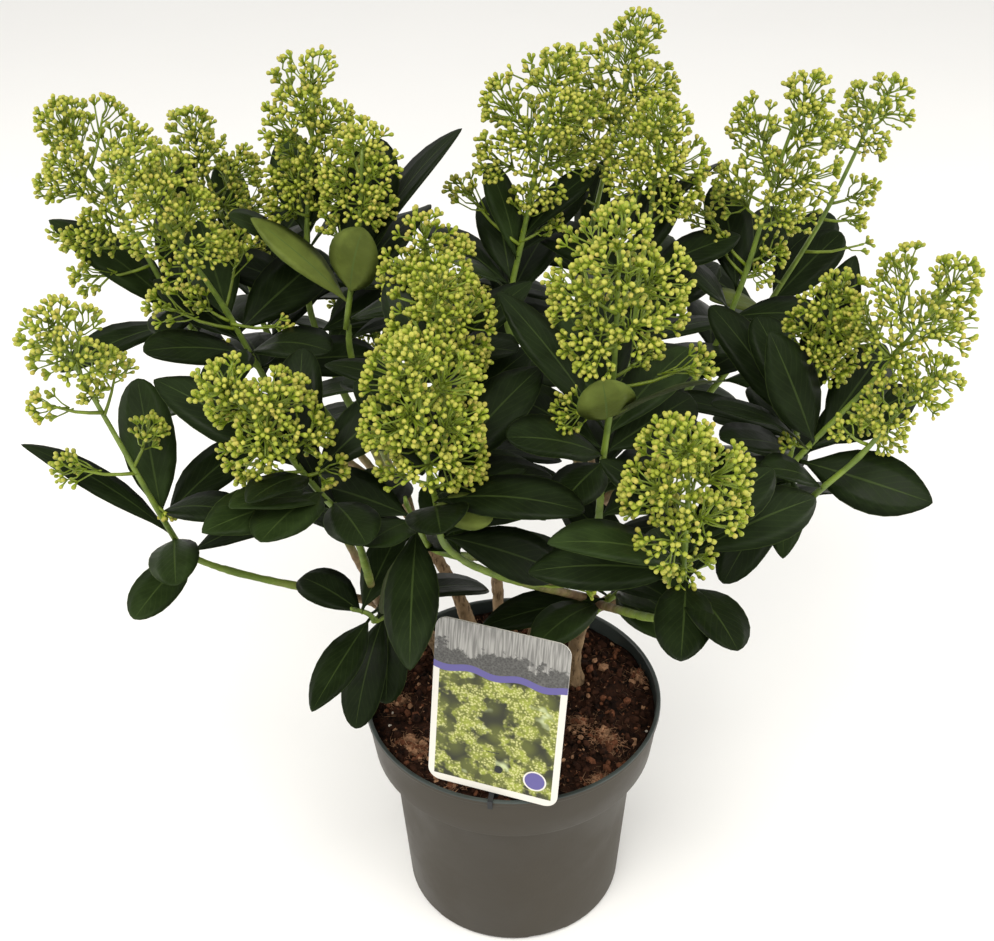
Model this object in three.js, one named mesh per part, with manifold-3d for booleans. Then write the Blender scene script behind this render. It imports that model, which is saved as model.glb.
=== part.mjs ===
// A potted skimmia. Five woody stems rise from the peat in a plastic pot and fork into boughs. Each bough
// carries one shoot: a whorl of leaves, and above it a panicle of flower buds.
// Millimetres, +Z up. The origin is the centre of the pot's flat underside. The front, with the label, is -Y.

import * as THREE from "three";
import { mergeVertices } from "three/addons/utils/BufferGeometryUtils.js";
import Module from "manifold-3d";

const wasm = await Module();
wasm.setup();

// Driving dimensions, in millimetres and degrees

const CLEAR = 0.3; // the gap that neighbouring pieces keep
const MERGE_DISTANCE = 1e-3; // points nearer than this are one point

const POT_HEIGHT = 157;
const RIM_RADIUS = 95;
const RIM_DEPTH = 4; // height of the upright lip
const LIP_ROUND = 1; // how far the lip stands out
const COLLAR_DEPTH = 36; // from the rim down to the collar's lower edge
const COLLAR_RADIUS = 90.5; // at the collar's lower edge
const NECK_RADIUS = 79.5; // of the body, under the collar
const FOOT_RADIUS = 71.5;
const FOOT_BEVEL = 3;
const POT_WALL = 1.8;
const POT_FLOOR = 3;
const POT_SIDES = 32;
const DRAIN_SLOTS = 5;
const DRAIN_WIDTH = 26;
const DRAIN_HEIGHT = 2.4;
const DRAIN_TURN = -73; // where the first slot lies, in degrees from +X

const SOIL_LEVEL = 151;
const SOIL_CROWN = 3; // how far the peat is heaped up in the middle
const SOIL_EDGE_RING = 0.8; // where the heap starts, as a share of the soil's radius

const LABEL_WIDTH = 81;
const LABEL_HEIGHT = 119;
const LABEL_CORNER = 8;
const LABEL_CORNER_STEPS = 3;
const LABEL_THICK = 1.2;
const LABEL_FOOT = [-14, -87, 159]; // middle of the card's lower edge
const LABEL_TURN = 18; // about the upright, its right edge forward
const LABEL_LEAN = 7; // backward
const STAKE_WIDTH = 9;
const STAKE_THICK = 2;
const STAKE_TOP = 190;
const STAKE_BOTTOM = 127;
const STAKE_BACK = 3.5; // how far the stake stands behind the card's foot

const STEM_SIDES = 7;
const STEM_RINGS = 5;
const STEM_TAPER = 0.72; // radius at the fork, as a share of the radius above the flare
const ROOT_FLARE = 0.7; // how much thicker the foot is
const ROOT_FLARE_SHARE = 0.09; // of the stem's length
const BOUGH_SIDES = 5;
const BOUGH_RINGS = 4;
const BOUGH_REACH = 0.42; // of its span in plan, where a bough is still low
const BOUGH_LIFT = 0.36; // of its rise, at the same place
const BOUGH_RUN_IN = 0.2; // of its span, in line with its shoot
const BOUGH_FOOT_RADIUS = 2.9;
const BOUGH_TIP_RADIUS = 1.9;
const BOUGH_SPACING = 0.045; // share of its stem's length between one bough's start and the next

const SHOOT_SIDES = 4;
const SHOOT_RINGS = 2;
const SHOOT_FOOT_RADIUS = 2.6;
const SHOOT_TIP_RADIUS = 1.6;
const LEAFY_LENGTH = 40; // stretch of the shoot that bears the leaves, centred on the whorl
const GOLDEN_ANGLE = 137.5;

const LEAF_LENGTH = 85;
const LEAF_WIDTH = 35;
const LEAF_THICK = 1.8;
const LEAF_THICKEST = 0.45; // where the midrib is thickest, as a share of the length
const LEAF_FOLD = 3; // how far the midrib lies under the margins
const LEAF_ARCH = 0.06; // rise of the middle, as a share of the length
const LEAF_OUTLINE = [
  { along: 1, halfWidth: 0, height: -0.08 }, // tip
  { along: 0.76, halfWidth: 0.46, height: 0.03 }, // upper shoulders
  { along: 0.42, halfWidth: 0.4, height: 0.07 }, // lower shoulders
  { along: 0, halfWidth: 0, height: 0 }, // root
]; // shares of the length and the width
const ROOT_DEPTH = 1.5; // how far a leaf's or spray's root goes past the middle of its stem
const LEAF_SHRINK = 0.25; // how much shorter the topmost leaf of a whorl is
const LEAF_LOWEST_RISE = 4; // slope of a whorl's lowest leaf
const LEAF_HIGHEST_RISE = 50; // slope of its topmost leaf
const LEAF_TRIES = [[0, 0, 1], [24, 10, 1], [-24, -10, 1], [40, 18, 0.85], [-40, 14, 0.75], [12, 28, 0.65]];

const SPRAY_SIDES = 4;
const SPRAY_HEAD_RADIUS = 16.5;
const SPRAY_HEAD_SHARE = 0.48; // the largest head in a slim panicle, as a share of its radius
const SPRAY_STALK_RADIUS = 1.3;
const SPRAY_NECK = 0.35; // where the stalk opens into the head, as a share of the spray's length
const SPRAY_BELLY = 0.78; // where the head is widest
const SPRAY_SPACING = 16.5; // of bloom length for each spray
const SPRAY_LOWEST_RISE = 25;
const SPRAY_HIGHEST_RISE = 50;
const TOP_SPRAY_FOOT = 0.6; // where the topmost spray starts, as a share of the bloom
const STRAY_RISE = 40; // slope of the loose sprays under the bloom
const STRAY_HEAD = 0.75; // their heads' size, as a share of the others'

// Stems: where each leaves the peat, where it forks, and its radius above the flare

const STEMS = {
  right: { foot: [39, 21], fork: [50, -5, 240], radius: 4.8 },
  left: { foot: [-45, 30], fork: [-85, -5, 240], radius: 4.6 },
  centre: { foot: [-8, 25], fork: [-10, 20, 265], radius: 4.3 },
  back_left: { foot: [-28, 58], fork: [-75, 85, 255], radius: 4.6 },
  back_right: { foot: [18, 58], fork: [60, 85, 250], radius: 5 },
};

// Shoots: the stem that carries each, the middle of its whorl of leaves, the panicle's lean from upright and
// the direction of that lean (0 is +X), the direction of its lowest leaf, the bare stalk, the bloom's length
// and radius, and how many loose sprays and leaves it has

const SHOOTS = [
  { name: "left", stem: "left", whorl: [-200, -25, 320], lean: 16, toward: 210, turn: 275,
    stalk: 112, bloom: 46, radius: 26, strays: 4, leaves: 8 },
  { name: "front_left", stem: "left", whorl: [-103, -90, 393], lean: 30, toward: 200, turn: 205,
    stalk: 16, bloom: 74, radius: 32, strays: 2, leaves: 9 },
  { name: "upper_left", stem: "left", whorl: [-158, 50, 397], lean: 22, toward: 195, turn: 230,
    stalk: 45, bloom: 90, radius: 30, strays: 1, leaves: 9 },
  { name: "front", stem: "right", whorl: [-41, -100, 389], lean: 8, toward: 245, turn: 255,
    stalk: 15, bloom: 90, radius: 34, strays: 1, leaves: 9 },
  { name: "front_right", stem: "right", whorl: [85, -140, 375], lean: 9, toward: 245, turn: 270,
    stalk: 14, bloom: 80, radius: 34, strays: 2, leaves: 9 },
  { name: "right_centre", stem: "right", whorl: [49, -65, 403], lean: 3, toward: 320, turn: 0,
    stalk: 50, bloom: 84, radius: 38, strays: 2, leaves: 9 },
  { name: "right", stem: "right", whorl: [168, -5, 345], lean: 31, toward: 357, turn: 350,
    stalk: 78, bloom: 66, radius: 39, strays: 2, leaves: 8 },
  { name: "right_outer", stem: "right", whorl: [182, -35, 355], lean: 38, toward: 5, turn: 100,
    stalk: 34, bloom: 52, radius: 24, strays: 1, leaves: 5 },
  { name: "right_inner", stem: "right", whorl: [168, 15, 352], lean: 8, toward: 340, turn: 0,
    stalk: 38, bloom: 66, radius: 24, strays: 1, leaves: 8 },
  { name: "centre_front", stem: "centre", whorl: [-37, -40, 400], lean: 8, toward: 270, turn: 0,
    stalk: 20, bloom: 80, radius: 31, strays: 0, leaves: 8 },
  { name: "centre", stem: "centre", whorl: [-42, 10, 409], lean: 4, toward: 225, turn: 0,
    stalk: 12, bloom: 74, radius: 29, strays: 0, leaves: 8 },
  { name: "far_left", stem: "back_left", whorl: [-205, 110, 385], lean: 22.5, toward: 185, turn: 180,
    stalk: 48, bloom: 96, radius: 43, strays: 2, leaves: 9 },
  { name: "far_left_inner", stem: "back_left", whorl: [-165, 150, 370], lean: 15, toward: 160, turn: 0,
    stalk: 40, bloom: 82, radius: 35, strays: 1, leaves: 7 },
  { name: "back_left_tall", stem: "back_left", whorl: [-120, 100, 420], lean: 6, toward: 25, turn: 0,
    stalk: 15, bloom: 116, radius: 29, strays: 1, leaves: 9 },
  { name: "back_left_inner", stem: "back_left", whorl: [-92, 60, 417], lean: 8, toward: 345, turn: 0,
    stalk: 48, bloom: 60, radius: 25, strays: 1, leaves: 8 },
  { name: "back_centre", stem: "back_right", whorl: [3, 100, 410], lean: 12, toward: 10, turn: 0,
    stalk: 55, bloom: 84, radius: 40, strays: 2, leaves: 9 },
  { name: "back_tall", stem: "back_right", whorl: [50, 160, 383], lean: 11, toward: 10, turn: 0,
    stalk: 60, bloom: 106, radius: 37, strays: 1, leaves: 8 },
  { name: "back_right_inner", stem: "back_right", whorl: [79, 85, 418], lean: 4, toward: 0, turn: 0,
    stalk: 44, bloom: 58, radius: 33, strays: 1, leaves: 9 },
  { name: "back_right", stem: "back_right", whorl: [138, 100, 390], lean: 15, toward: 15, turn: 0,
    stalk: 44, bloom: 100, radius: 38, strays: 1, leaves: 8 },
  { name: "far_right", stem: "back_right", whorl: [170, 150, 355], lean: 27, toward: 20, turn: 0,
    stalk: 110, bloom: 50, radius: 24, strays: 3, leaves: 8 },
  { name: "behind_left", stem: "back_left", whorl: [-90, 190, 290], lean: 30, toward: 105, turn: 0,
    stalk: 10, bloom: 60, radius: 32, strays: 0, leaves: 8 },
  { name: "behind", stem: "back_left", whorl: [-15, 200, 285], lean: 28, toward: 90, turn: 0,
    stalk: 10, bloom: 60, radius: 32, strays: 0, leaves: 8 },
  { name: "behind_right", stem: "back_right", whorl: [75, 195, 280], lean: 30, toward: 75, turn: 0,
    stalk: 10, bloom: 60, radius: 32, strays: 0, leaves: 8 },
];

// Tufts: shoots without bloom, low in the crown, in the same terms

const TUFTS = [
  { name: "low_right", stem: "right", whorl: [68, -22, 266], lean: 35, toward: 320, turn: 300, leaves: 6 },
  { name: "low_left", stem: "left", whorl: [-88, -42, 262], lean: 40, toward: 250, turn: 255, leaves: 6 },
  { name: "low_centre", stem: "centre", whorl: [-53, -85, 366], lean: 25, toward: 250, turn: 250, leaves: 6 },
];
const TUFT_DROOP = 24; // how much lower the leaves of a tuft hang

// The seeded rule: one fixed number from 0 to 1 for each seed and step

function roll(seed, step) {
  const wave = Math.sin(seed * 12.9898 + step * 78.233) * 43758.5453;
  return wave - Math.floor(wave);
}

function between(low, high, seed, step) {
  return low + (high - low) * roll(seed, step);
}

// Solids and geometries

function solidOf(geometry) {
  const bare = geometry.clone();
  bare.deleteAttribute("normal");
  bare.deleteAttribute("uv");
  const merged = mergeVertices(bare, MERGE_DISTANCE);
  const mesh = new wasm.Mesh({
    numProp: 3,
    vertProperties: Float32Array.from(merged.attributes.position.array),
    triVerts: Uint32Array.from(merged.index.array),
  });
  return new wasm.Manifold(mesh);
}

function geometryOf(solid) {
  const mesh = solid.getMesh();
  const geometry = new THREE.BufferGeometry();
  geometry.setAttribute("position", new THREE.Float32BufferAttribute(mesh.vertProperties, 3));
  geometry.setIndex(Array.from(mesh.triVerts));
  geometry.computeVertexNormals();
  return geometry;
}

// The largest body of a solid: it leaves out loose scraps, and fills hollows that a join has sealed
function whole(solid) {
  const bodies = solidOf(geometryOf(solid)).decompose();
  return bodies.reduce((best, body) => (body.volume() > best.volume() ? body : best));
}

function boxOf(solid) {
  const bounds = solid.boundingBox();
  return new THREE.Box3(new THREE.Vector3(...bounds.min), new THREE.Vector3(...bounds.max));
}

// Moves each point of a geometry to where the rule puts it
function reshape(geometry, rule) {
  const position = geometry.attributes.position;
  const point = new THREE.Vector3();
  for (let i = 0; i < position.count; i += 1) {
    point.fromBufferAttribute(position, i);
    const moved = rule(point);
    position.setXYZ(i, moved.x, moved.y, moved.z);
  }
  return geometry;
}

// A unit vector from its direction in plan and its rise above level, both in degrees
function heading(toward, rise) {
  const plan = THREE.MathUtils.degToRad(toward);
  const slope = THREE.MathUtils.degToRad(rise);
  return new THREE.Vector3(
    Math.cos(slope) * Math.cos(plan),
    Math.cos(slope) * Math.sin(plan),
    Math.sin(slope),
  );
}

// A round limb along a curve, with flat ends; radiusAt gives its radius for a share of its length
function limb(curve, radiusAt, sides, rings) {
  const frames = curve.computeFrenetFrames(rings, false);
  return reshape(new THREE.CylinderGeometry(1, 1, 1, sides, rings), (point) => {
    const share = point.y + 0.5;
    const ring = Math.round(share * rings);
    const radius = radiusAt(share);
    return curve.getPointAt(share)
      .addScaledVector(frames.normals[ring], point.x * radius)
      .addScaledVector(frames.binormals[ring], -point.z * radius);
  });
}

// The pot, its peat and its label

function potSolid() {
  const collarFoot = POT_HEIGHT - COLLAR_DEPTH;
  const rimFoot = POT_HEIGHT - RIM_DEPTH;
  const profile = [
    [0, 0],
    [FOOT_RADIUS - FOOT_BEVEL, 0],
    [FOOT_RADIUS, FOOT_BEVEL],
    [NECK_RADIUS, collarFoot],
    [COLLAR_RADIUS, collarFoot],
    [RIM_RADIUS - LIP_ROUND, rimFoot],
    [RIM_RADIUS, rimFoot + LIP_ROUND],
    [RIM_RADIUS - LIP_ROUND, POT_HEIGHT],
    [RIM_RADIUS - LIP_ROUND - POT_WALL, POT_HEIGHT],
    [RIM_RADIUS - LIP_ROUND - POT_WALL, rimFoot],
    [COLLAR_RADIUS - POT_WALL, collarFoot + POT_WALL],
    [NECK_RADIUS - POT_WALL, collarFoot + POT_WALL],
    [FOOT_RADIUS - POT_WALL, POT_FLOOR],
    [0, POT_FLOOR],
  ].map(([radius, height]) => new THREE.Vector2(radius, height));
  const lathe = new THREE.LatheGeometry(profile, POT_SIDES);
  lathe.rotateX(Math.PI / 2);
  let pot = solidOf(lathe);
  for (let slot = 0; slot < DRAIN_SLOTS; slot += 1) {
    const cutter = new THREE.BoxGeometry(4 * FOOT_BEVEL, DRAIN_WIDTH, 2 * DRAIN_HEIGHT);
    cutter.translate(FOOT_RADIUS, 0, 0);
    cutter.rotateZ(THREE.MathUtils.degToRad(DRAIN_TURN + (360 * slot) / DRAIN_SLOTS));
    pot = pot.subtract(solidOf(cutter));
  }
  return pot;
}

// Radius of the collar's inner face at a height
function collarInnerRadius(height) {
  const top = POT_HEIGHT - RIM_DEPTH;
  const bottom = POT_HEIGHT - COLLAR_DEPTH;
  return THREE.MathUtils.mapLinear(height, bottom, top, COLLAR_RADIUS, RIM_RADIUS - LIP_ROUND) - POT_WALL;
}

function soilSolid(stake) {
  const collarFoot = POT_HEIGHT - COLLAR_DEPTH;
  const edge = collarInnerRadius(SOIL_LEVEL) - 2 * CLEAR;
  const neck = NECK_RADIUS - POT_WALL - 2 * CLEAR;
  const profile = [
    [0, POT_FLOOR + CLEAR],
    [FOOT_RADIUS - POT_WALL - 2 * CLEAR, POT_FLOOR + CLEAR],
    [neck, collarFoot + POT_WALL],
    [neck, collarFoot + POT_WALL + CLEAR],
    [COLLAR_RADIUS - POT_WALL - 2 * CLEAR, collarFoot + POT_WALL + CLEAR],
    [edge, SOIL_LEVEL - SOIL_CROWN],
    [edge * SOIL_EDGE_RING, SOIL_LEVEL],
    [0, SOIL_LEVEL],
  ].map(([radius, height]) => new THREE.Vector2(radius, height));
  const lathe = new THREE.LatheGeometry(profile, POT_SIDES);
  lathe.rotateX(Math.PI / 2);
  return solidOf(lathe).subtract(stake);
}

// The stake that carries the card, thicker all round by grow
function stakeSolid(grow) {
  const height = STAKE_TOP - STAKE_BOTTOM + 2 * grow;
  const stake = new THREE.BoxGeometry(STAKE_WIDTH + 2 * grow, STAKE_THICK + 2 * grow, height);
  stake.translate(0, STAKE_BACK, (STAKE_TOP + STAKE_BOTTOM) / 2 - LABEL_FOOT[2]);
  return solidOf(standLabel(stake));
}

function standLabel(geometry) {
  geometry.rotateZ(THREE.MathUtils.degToRad(-LABEL_TURN));
  geometry.translate(...LABEL_FOOT);
  return geometry;
}

function labelSolid() {
  const half = LABEL_WIDTH / 2;
  const reach = half - LABEL_CORNER;
  const top = LABEL_HEIGHT - LABEL_CORNER;
  const card = new THREE.Shape();
  card.moveTo(-reach, 0);
  card.lineTo(reach, 0);
  card.absarc(reach, LABEL_CORNER, LABEL_CORNER, -Math.PI / 2, 0, false);
  card.absarc(reach, top, LABEL_CORNER, 0, Math.PI / 2, false);
  card.absarc(-reach, top, LABEL_CORNER, Math.PI / 2, Math.PI, false);
  card.absarc(-reach, LABEL_CORNER, LABEL_CORNER, Math.PI, 1.5 * Math.PI, false);
  const plate = new THREE.ExtrudeGeometry(card, {
    depth: LABEL_THICK,
    bevelEnabled: false,
    curveSegments: LABEL_CORNER_STEPS,
  });
  plate.rotateX(Math.PI / 2 - THREE.MathUtils.degToRad(LABEL_LEAN));
  return solidOf(standLabel(plate)).add(stakeSolid(0));
}

// Stems and boughs

function stemCurve({ foot, fork }) {
  const start = new THREE.Vector3(foot[0], foot[1], SOIL_LEVEL + CLEAR);
  const end = new THREE.Vector3(...fork);
  const rise = end.z - start.z;
  const upright = start.clone().add(new THREE.Vector3(0, 0, rise * 0.4));
  const leaning = end.clone().lerp(start, 0.3).add(new THREE.Vector3(0, 0, rise * 0.05));
  return new THREE.CubicBezierCurve3(start, upright, leaning, end);
}

function stemRadius(radius, share) {
  const taper = THREE.MathUtils.lerp(1, STEM_TAPER, share);
  const flare = ROOT_FLARE * Math.exp(-share / ROOT_FLARE_SHARE);
  return radius * (taper + flare);
}

function stemSolid(stem, grow) {
  const radiusAt = (share) => stemRadius(stem.radius, share) + grow;
  return solidOf(limb(stemCurve(stem), radiusAt, STEM_SIDES, STEM_RINGS));
}

// The direction that a shoot grows in, and where it starts: half the leafy stretch under its whorl
function shootAxis(shoot) {
  return heading(shoot.toward, 90 - shoot.lean);
}

function shootStart(shoot) {
  return new THREE.Vector3(...shoot.whorl).addScaledVector(shootAxis(shoot), -LEAFY_LENGTH / 2);
}

// A bough leaves its stem nearly level and turns up into the line of its shoot
function boughCurve(shoot, order) {
  const start = stemCurve(STEMS[shoot.stem]).getPointAt(1 - BOUGH_SPACING * (order + 0.5));
  const axis = shootAxis(shoot);
  const end = shootStart(shoot).addScaledVector(axis, -CLEAR);
  const span = end.clone().sub(start);
  const level = new THREE.Vector3(BOUGH_REACH, BOUGH_REACH, BOUGH_LIFT).multiply(span);
  const outward = start.clone().add(level);
  const upward = end.clone().addScaledVector(axis, -BOUGH_RUN_IN * span.length());
  return new THREE.CubicBezierCurve3(start, outward, upward, end);
}

function boughSolid(curve, grow) {
  const radiusAt = (share) => THREE.MathUtils.lerp(BOUGH_FOOT_RADIUS, BOUGH_TIP_RADIUS, share) + grow;
  return solidOf(limb(curve, radiusAt, BOUGH_SIDES, BOUGH_RINGS));
}

// Foliage

// The stem inside a mass: leafy at the foot, bare above, and it ends inside the topmost spray
function shootCurve(shoot) {
  const length = LEAFY_LENGTH / 2 + (shoot.bloom ? shoot.stalk + shoot.bloom * 0.8 : LEAFY_LENGTH / 2 + 4);
  const start = shootStart(shoot);
  const axis = shootAxis(shoot);
  return new THREE.LineCurve3(start, start.clone().addScaledVector(axis, length));
}

function shootStemSolid(shoot) {
  const radiusAt = (share) => THREE.MathUtils.lerp(SHOOT_FOOT_RADIUS, SHOOT_TIP_RADIUS, share);
  const rings = shoot.bloom ? SHOOT_RINGS : 1;
  return solidOf(limb(shootCurve(shoot), radiusAt, SHOOT_SIDES, rings));
}

// Places a geometry that grows along +X, with its upper side to +Z, on a point of the shoot
function growFrom(geometry, root, direction) {
  const side = new THREE.Vector3(0, 0, 1).cross(direction).normalize();
  const upper = direction.clone().cross(side);
  const turn = new THREE.Matrix4().makeBasis(direction, side, upper).setPosition(root);
  return geometry.applyMatrix4(turn);
}

// A leaf: the root, tip and shoulders are the equator of a six-sided sphere, the midrib's two faces its poles
function leafSolid(root, direction, length, width, grow) {
  const leaf = reshape(new THREE.SphereGeometry(1, 6, 2), (point) => {
    if (Math.abs(point.y) > 0.5) {
      const thick = Math.sign(point.y) * (LEAF_THICK / 2 + grow);
      return new THREE.Vector3(LEAF_THICKEST * length, 0, LEAF_ARCH * length - LEAF_FOLD + thick);
    }
    const corner = Math.round(Math.abs(Math.atan2(point.z, point.x)) / (Math.PI / 3));
    const outline = LEAF_OUTLINE[corner];
    const side = corner % 3 === 0 ? 0 : -Math.sign(point.z);
    return new THREE.Vector3(
      outline.along * length + (corner === 0 ? grow : 0) - (corner === 3 ? ROOT_DEPTH : 0),
      side * (outline.halfWidth * width + grow),
      outline.height * length,
    );
  });
  return solidOf(growFrom(leaf, root, direction));
}

// A spray of buds: a thin stalk that opens into a domed head
function spraySolid(root, direction, length, headRadius, grow) {
  const stations = [
    { along: -ROOT_DEPTH, radius: 0 },
    { along: SPRAY_NECK * length, radius: SPRAY_STALK_RADIUS + grow },
    { along: SPRAY_BELLY * length, radius: headRadius + grow },
    { along: length + grow, radius: 0 },
  ];
  const spray = reshape(new THREE.SphereGeometry(1, SPRAY_SIDES, 3), (point) => {
    const latitude = Math.atan2(point.y, Math.hypot(point.x, point.z)) / Math.PI + 0.5;
    const { along, radius } = stations[Math.round(latitude * 3)];
    const around = Math.atan2(point.z, point.x);
    return new THREE.Vector3(along, -radius * Math.cos(around), radius * Math.sin(around));
  });
  return solidOf(growFrom(spray, root, direction));
}

// Every piece made so far, so that leaves and sprays can keep clear of the pieces of other nodes
const placed = [];

function place(owner, solid) {
  placed.push({ owner, solid, box: boxOf(solid) });
  return solid;
}

function isFree(owner, solid) {
  const box = boxOf(solid);
  return !placed.some((piece) => (
    piece.owner !== owner && piece.box.intersectsBox(box) && !piece.solid.intersect(solid).isEmpty()
  ));
}

// The sprays of a panicle: for each, its root on the axis, its direction, its length and its head's radius.
// Their heads lie in a spiral on an ovoid, one tops the axis, and loose ones stand off the stalk below.
function sprayLayout(shoot, seed) {
  const fullHead = Math.min(SPRAY_HEAD_RADIUS, SPRAY_HEAD_SHARE * shoot.radius);
  const start = shootStart(shoot);
  const axis = shootAxis(shoot);
  const bloomFoot = LEAFY_LENGTH / 2 + shoot.stalk;
  const firstTurn = 360 * roll(seed, 100);
  const at = (height) => start.clone().addScaledVector(axis, height);
  const sprays = [{
    root: at(bloomFoot + shoot.bloom * TOP_SPRAY_FOOT),
    direction: axis,
    length: shoot.bloom * (1 - TOP_SPRAY_FOOT),
    headRadius: fullHead,
  }];
  const count = Math.round(shoot.bloom / SPRAY_SPACING);
  for (let i = 0; i < count; i += 1) {
    const share = (i + 0.5) / count;
    const headRadius = fullHead * between(0.9, 1.1, seed, i + 20);
    const ovoid = Math.sin(Math.PI * THREE.MathUtils.lerp(0.32, 0.76, share));
    const out = Math.max(shoot.radius - 0.8 * headRadius, headRadius) * ovoid * between(0.92, 1.06, seed, i);
    const rise = THREE.MathUtils.lerp(SPRAY_LOWEST_RISE, SPRAY_HIGHEST_RISE, share);
    const slope = Math.tan(THREE.MathUtils.degToRad(rise));
    const height = bloomFoot + shoot.bloom * THREE.MathUtils.lerp(0.16, 0.74, share);
    sprays.push({
      root: at(height - out * slope),
      direction: heading(firstTurn + GOLDEN_ANGLE * i, rise),
      length: (out * Math.hypot(1, slope)) / SPRAY_BELLY,
      headRadius,
    });
  }
  for (let i = 0; i < shoot.strays; i += 1) {
    sprays.push({
      root: at(bloomFoot - shoot.stalk * ((i + 1) / (shoot.strays + 2))),
      direction: heading(firstTurn + GOLDEN_ANGLE * (i + 0.5), STRAY_RISE),
      length: shoot.radius * between(1, 1.35, seed, i + 40),
      headRadius: fullHead * STRAY_HEAD,
    });
  }
  return sprays;
}

function growSprays(shoot, seed, owner) {
  const solids = [];
  for (const spray of sprayLayout(shoot, seed)) {
    if (isFree(owner, spraySolid(spray.root, spray.direction, spray.length, spray.headRadius, CLEAR))) {
      const solid = spraySolid(spray.root, spray.direction, spray.length, spray.headRadius, 0);
      solids.push(place(owner, solid));
    }
  }
  return solids;
}

// Leaves stand in a spiral round the leafy stretch, the lowest longest and drooping
function growLeaves(shoot, seed, owner) {
  const start = shootStart(shoot);
  const axis = shootAxis(shoot);
  const solids = [];
  for (let i = 0; i < shoot.leaves; i += 1) {
    const share = i / (shoot.leaves - 1);
    const root = start.clone().addScaledVector(axis, THREE.MathUtils.lerp(5, LEAFY_LENGTH, share));
    const toward = shoot.turn + GOLDEN_ANGLE * i;
    const slope = THREE.MathUtils.lerp(LEAF_LOWEST_RISE, LEAF_HIGHEST_RISE, share);
    const rise = slope - (shoot.bloom ? 0 : TUFT_DROOP) + between(-8, 8, seed, i + 80);
    const length = LEAF_LENGTH * (1 - LEAF_SHRINK * share) * between(0.88, 1.08, seed, i + 70);
    const width = (length / LEAF_LENGTH) * LEAF_WIDTH * between(0.92, 1.08, seed, i + 90);
    for (const [turn, lift, scale] of LEAF_TRIES) {
      const direction = heading(toward + turn, rise + lift);
      if (isFree(owner, leafSolid(root, direction, length * scale, width * scale, CLEAR))) {
        solids.push(place(owner, leafSolid(root, direction, length * scale, width * scale, 0)));
        break;
      }
    }
  }
  return solids;
}

// The materials

function finish(color, roughness) {
  return new THREE.MeshStandardMaterial({ color, roughness, metalness: 0 });
}

const MATERIALS = {
  plastic: finish("#55524e", 0.55),
  peat: finish("#2a1a12", 1),
  card: finish("#dfe3dc", 0.4),
  bark: finish("#8a7350", 0.85),
  shoot: finish("#7f9440", 0.6),
  foliage: finish("#2f4a22", 0.45),
};

const plant = new THREE.Group();

function addNode(name, solid, material) {
  const mesh = new THREE.Mesh(geometryOf(solid), MATERIALS[material].clone());
  mesh.name = name;
  plant.add(mesh);
}

// Pot, peat and label
const label = place("label", labelSolid());
const pot = place("pot", potSolid());
const soil = place("soil", soilSolid(stakeSolid(CLEAR)));
addNode("pot", pot, "plastic");
addNode("soil", soil, "peat");
addNode("label", label, "card");

// Stems, each cut clear of the ones before it
const grownLimbs = [];

function addLimb(name, material, solid, grown) {
  let clear = solid;
  for (const limbBefore of grownLimbs) {
    clear = clear.subtract(limbBefore);
  }
  clear = whole(clear);
  grownLimbs.push(grown);
  place(name, clear);
  addNode(name, clear, material);
}

for (const [name, stem] of Object.entries(STEMS)) {
  addLimb(`stem_${name}`, "bark", stemSolid(stem, 0), stemSolid(stem, CLEAR));
}

const boughsOfStem = {};
for (const shoot of [...SHOOTS, ...TUFTS]) {
  const order = boughsOfStem[shoot.stem] ?? 0;
  boughsOfStem[shoot.stem] = order + 1;
  const curve = boughCurve(shoot, order);
  addLimb(`bough_${shoot.name}`, "shoot", boughSolid(curve, 0), boughSolid(curve, CLEAR));
}

// Foliage: all the stems first, then the blooms, then the leaves
const masses = [...SHOOTS, ...TUFTS].map((shoot, index) => ({
  shoot,
  seed: index + 1,
  name: `foliage_${shoot.name}`,
  solids: [],
}));
for (const mass of masses) {
  mass.solids.push(place(mass.name, shootStemSolid(mass.shoot)));
}
for (const mass of masses.filter(({ shoot }) => shoot.bloom)) {
  mass.solids.push(...growSprays(mass.shoot, mass.seed, mass.name));
}
for (const mass of masses) {
  mass.solids.push(...growLeaves(mass.shoot, mass.seed, mass.name));
}
for (const mass of masses) {
  const joined = mass.solids.reduce((sum, solid) => sum.add(solid));
  addNode(mass.name, whole(joined), "foliage");
}

export default plant;
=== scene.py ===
"""A potted skimmia shrub in bud: a plastic nursery pot of peat with a label, five woody stems, their
boughs, and on each bough a shoot with a whorl of leaves under a panicle of flower buds. Metres, +Z up,
front to -Y."""

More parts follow.
